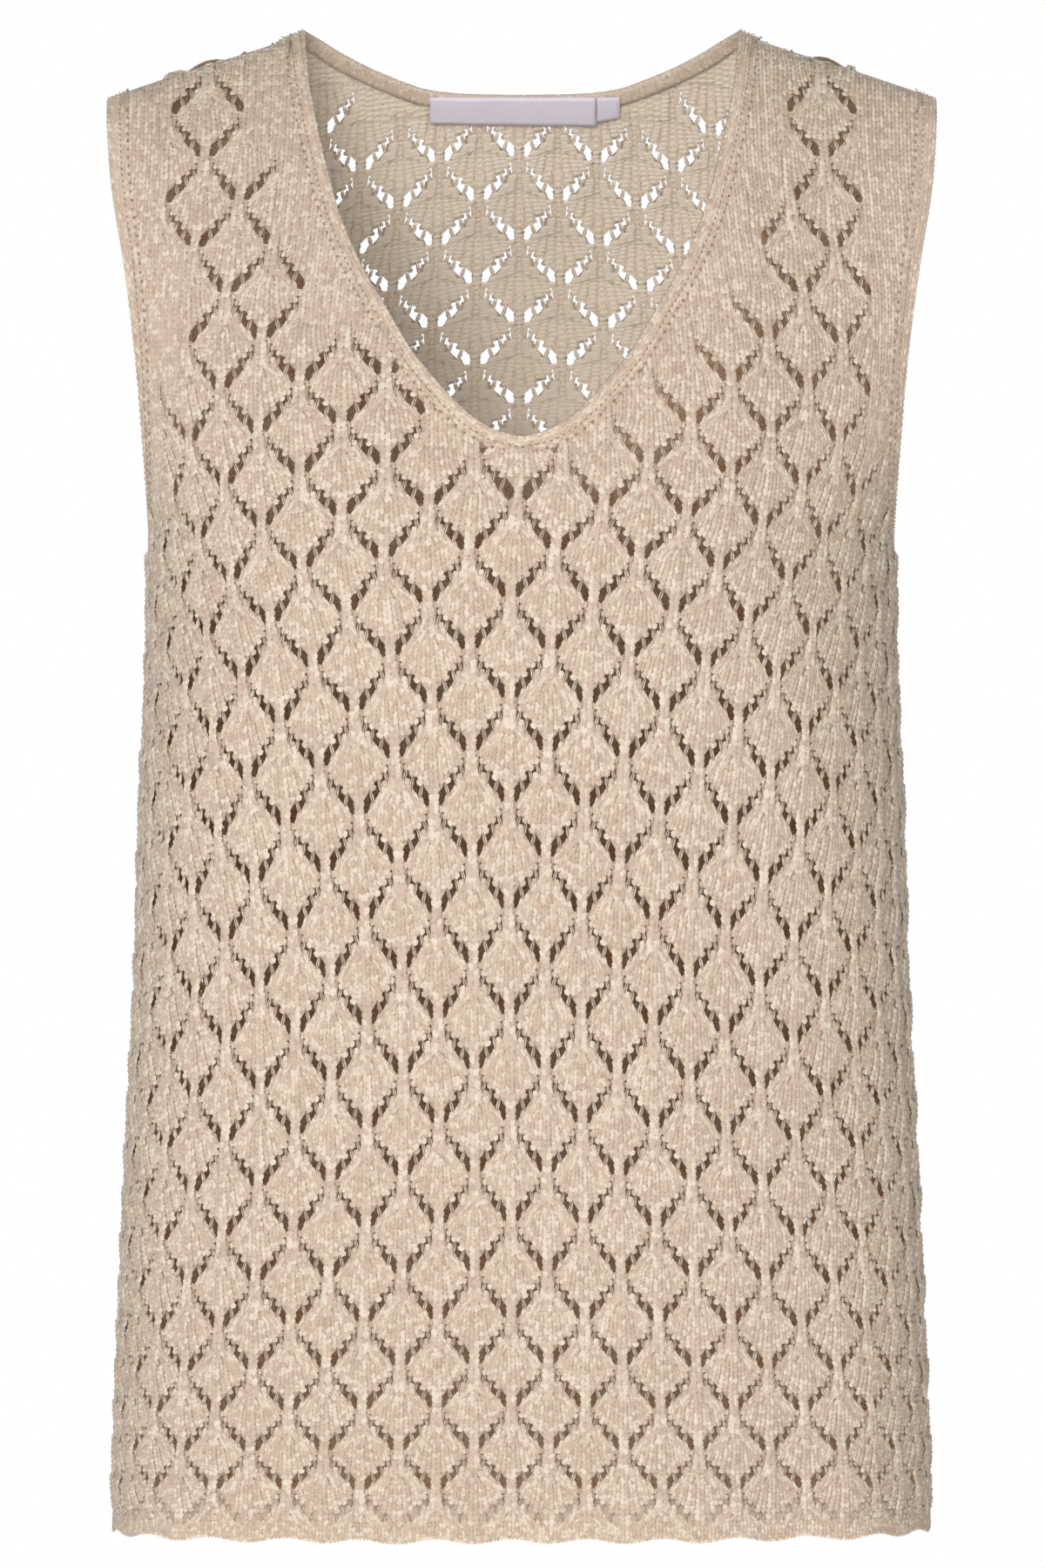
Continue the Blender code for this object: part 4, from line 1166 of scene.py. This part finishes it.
def makeLabel(name, x0, x1, top, height, thick, tilt):
    # a blank ribbon, stitched near each end, lying on the plain side of the back
    columns = max(labelForm["fewestColumns"], int((x1 - x0) / labelForm["columnWidth"]))
    rows = labelForm["rows"]
    xs = np.linspace(x0, x1, columns)
    front, behind = [], []
    for share in np.linspace(0.0, 1.0, rows):
        drop = top + (height + tilt * (xs - x0) / (x1 - x0)) * share
        across = acrossAt("back", xs, drop)
        p = surface("back", across, drop)
        n = outward("back", across, drop)
        ripple = labelForm["ripple"] * np.sin(xs * labelForm["rippleTurn"])
        out = cut["wall"] + cut["gap"] + labelForm["bow"] * math.sin(math.pi * share) + ripple
        front.append(p - n * (out + thick)[:, None])
        behind.append(p - n * out[:, None])
    front, behind = np.array(front), np.array(behind)
    points = np.concatenate([front.reshape(-1, 3), behind.reshape(-1, 3)])
    grid = np.arange(rows * columns).reshape(rows, columns)
    a, b, c, d = (part.ravel() for part in (grid[:-1, :-1], grid[1:, :-1], grid[1:, 1:], grid[:-1, 1:]))
    half = rows * columns
    rim = np.concatenate([grid[0], grid[1:, -1], grid[-1, -2::-1], grid[-2:0:-1, 0]])
    turn = np.roll(rim, -1)
    faces = np.concatenate([np.stack([a, b, c, d], axis=1), half + np.stack([a, d, c, b], axis=1),
                            np.stack([rim, turn, turn + half, rim + half], axis=1)])
    piece = addPiece(name + "_ribbon", points, faces, ribbonMaterial, name)
    # a line of small stitches near each end
    pile = YarnPile(labelForm["seed"])
    inset = int(round(labelForm["turnIn"] / ((x1 - x0) / (columns - 1))))
    for column in (inset, columns - 1 - inset):
        line = front[:, column]
        out = line - behind[:, column]
        out /= np.linalg.norm(out, axis=1)[:, None]
        for low, high in labelForm["stitches"]:
            base, head = (line[:-1] * (1 - share) + line[1:] * share for share in (low, high))
            pile.add(strands, base, head, out[:-1], labelForm["stitchHalf"], labelForm["stitchThick"])
    threads = pile.finish(name + "_stitching", name, ribbonMaterial)


fabrics = {}
for panel in panels:
    fabrics[panel] = Fabric(panel)
    print(panel, "fabric charted")

# flat area of each panel's cut, the rows where its stitches are parted, and the first row of purl bumps
panelPieces = {
    "front": {"area": 0.1830, "rowBreaks": (0, 88, 172, 260), "purlsFrom": 204},
    "back": {"area": 0.2010, "rowBreaks": (0, 84, 162, 260), "purlsFrom": 156},
}
frontGaps = None
for panel, fabric in fabrics.items():
    sheet, frontGaps = makeSheet(fabric, frontGaps)
    breaks = panelPieces[panel]["rowBreaks"]
    for k, word in enumerate(("lower", "middle", "upper")):
        makeStitches(fabric, f"{panel}_stitches_{word}", breaks[k], breaks[k + 1], 11 + k)
    makePurls(fabric, panelPieces[panel]["purlsFrom"], 31)
    makeHem(fabric, 41)
    width = 2 * sideLength(panel, 1.0, 0.5)[0]

# round the neck from the front's right half, each line the way the band runs
roundNeck = (("front", "right", 1), ("front", "left", -1), ("back", "left", 1), ("back", "right", -1))
stretches = []
for panel, word, way in roundNeck:
    edge, seam = fabrics[panel].lines["neck" + word]
    stretches.append((panel, edge[::way], seam[::way]))
makeBand("neckband", stretches, cut["neckBand"], 51)
for word in ("left", "right"):
    front = fabrics["front"].lines["arm" + word]
    back = fabrics["back"].lines["arm" + word]
    makeBand("armhole_band_" + word, [("front", *front), ("back", back[0][::-1], back[1][::-1])],
             cut["armBand"], 52)
for label in labels:
    makeLabel(*label)
print("bands and labels made")


def makeStage():
    # a plain pale floor
    s, z = studio["floorHalf"], -studio["floorDrop"]
    mesh = bpy.data.meshes.new("studio_floor")
    mesh.from_pydata([(-s, -s, z), (s, -s, z), (s, s, z), (-s, s, z)], [], [(0, 1, 2, 3)])
    floor = bpy.data.objects.new("studio_floor", mesh)
    bpy.context.scene.collection.objects.link(floor)
    material, tree, shader = newMaterial("painted_floor_matt")
    shader.inputs["Base Color"].default_value = linear(studio["floorColour"])
    shader.inputs["Roughness"].default_value = studio["floorRoughness"]
    mesh.materials.append(material)


# soft lights, all aimed at the middle of the top: name, place, size, power
lights = (
    ("key_left", (-1.6, -2.2, 0.9), (1.2, 1.4), 14),
    ("fill_right", (1.8, -2.0, 0.3), (1.4, 1.8), 8),
    ("soft_front", (-0.4, -3.4, 0.1), (1.0, 1.0), 62),
    ("soft_back", (0.8, 3.2, 0.6), (1.6, 1.6), 80),
)


def areaLight(name, place, size, power):
    data = bpy.data.lights.new(name, "AREA")
    data.shape = "RECTANGLE"
    data.size, data.size_y = size
    data.energy = power
    light = bpy.data.objects.new(name, data)
    light.location = place
    toTop = Vector(studio["lightAim"]) - Vector(place)
    light.rotation_euler = toTop.to_track_quat("-Z", "Y").to_euler()
    bpy.context.scene.collection.objects.link(light)


def makeLightAndCamera():
    world = bpy.data.worlds.new("studio_white")
    bpy.context.scene.world = world
    world.use_nodes = True
    tree = world.node_tree
    # plain white behind the top, and a dimmer white as the room's soft light
    ray = addNode(tree, "ShaderNodeLightPath")
    room = tree.nodes["Background"]
    room.inputs["Color"].default_value = (1.0, 1.0, 1.0, 1.0)
    room.inputs["Strength"].default_value = studio["roomLight"]
    white = addNode(tree, "ShaderNodeBackground", values={"Color": (1.0, 1.0, 1.0, 1.0), "Strength": 1.0})
    mix = addNode(tree, "ShaderNodeMixShader", links={0: ray.outputs["Is Camera Ray"]})
    tree.links.new(room.outputs[0], mix.inputs[1])
    tree.links.new(white.outputs[0], mix.inputs[2])
    tree.links.new(mix.outputs[0], tree.nodes["World Output"].inputs["Surface"])
    bpy.context.scene.view_settings.view_transform = "Standard"
    for light in lights:
        areaLight(*light)
    camera = bpy.data.objects.new("camera", bpy.data.cameras.new("camera"))
    camera.location = (studio["cameraX"], -studio["cameraAway"], -studio["cameraDrop"])
    camera.rotation_euler = (math.pi / 2, 0, 0)
    camera.data.sensor_fit = "VERTICAL"
    camera.data.sensor_height = studio["sensor"]
    camera.data.lens = studio["sensor"] * studio["cameraAway"] / studio["frameHeight"]
    bpy.context.scene.collection.objects.link(camera)
    bpy.context.scene.camera = camera


makeStage()
makeLightAndCamera()
total = sum(len(p.vertices) - 2 for o in bpy.data.objects if o.type == "MESH" for p in o.data.polygons)
print("triangles with the frame's own", total)
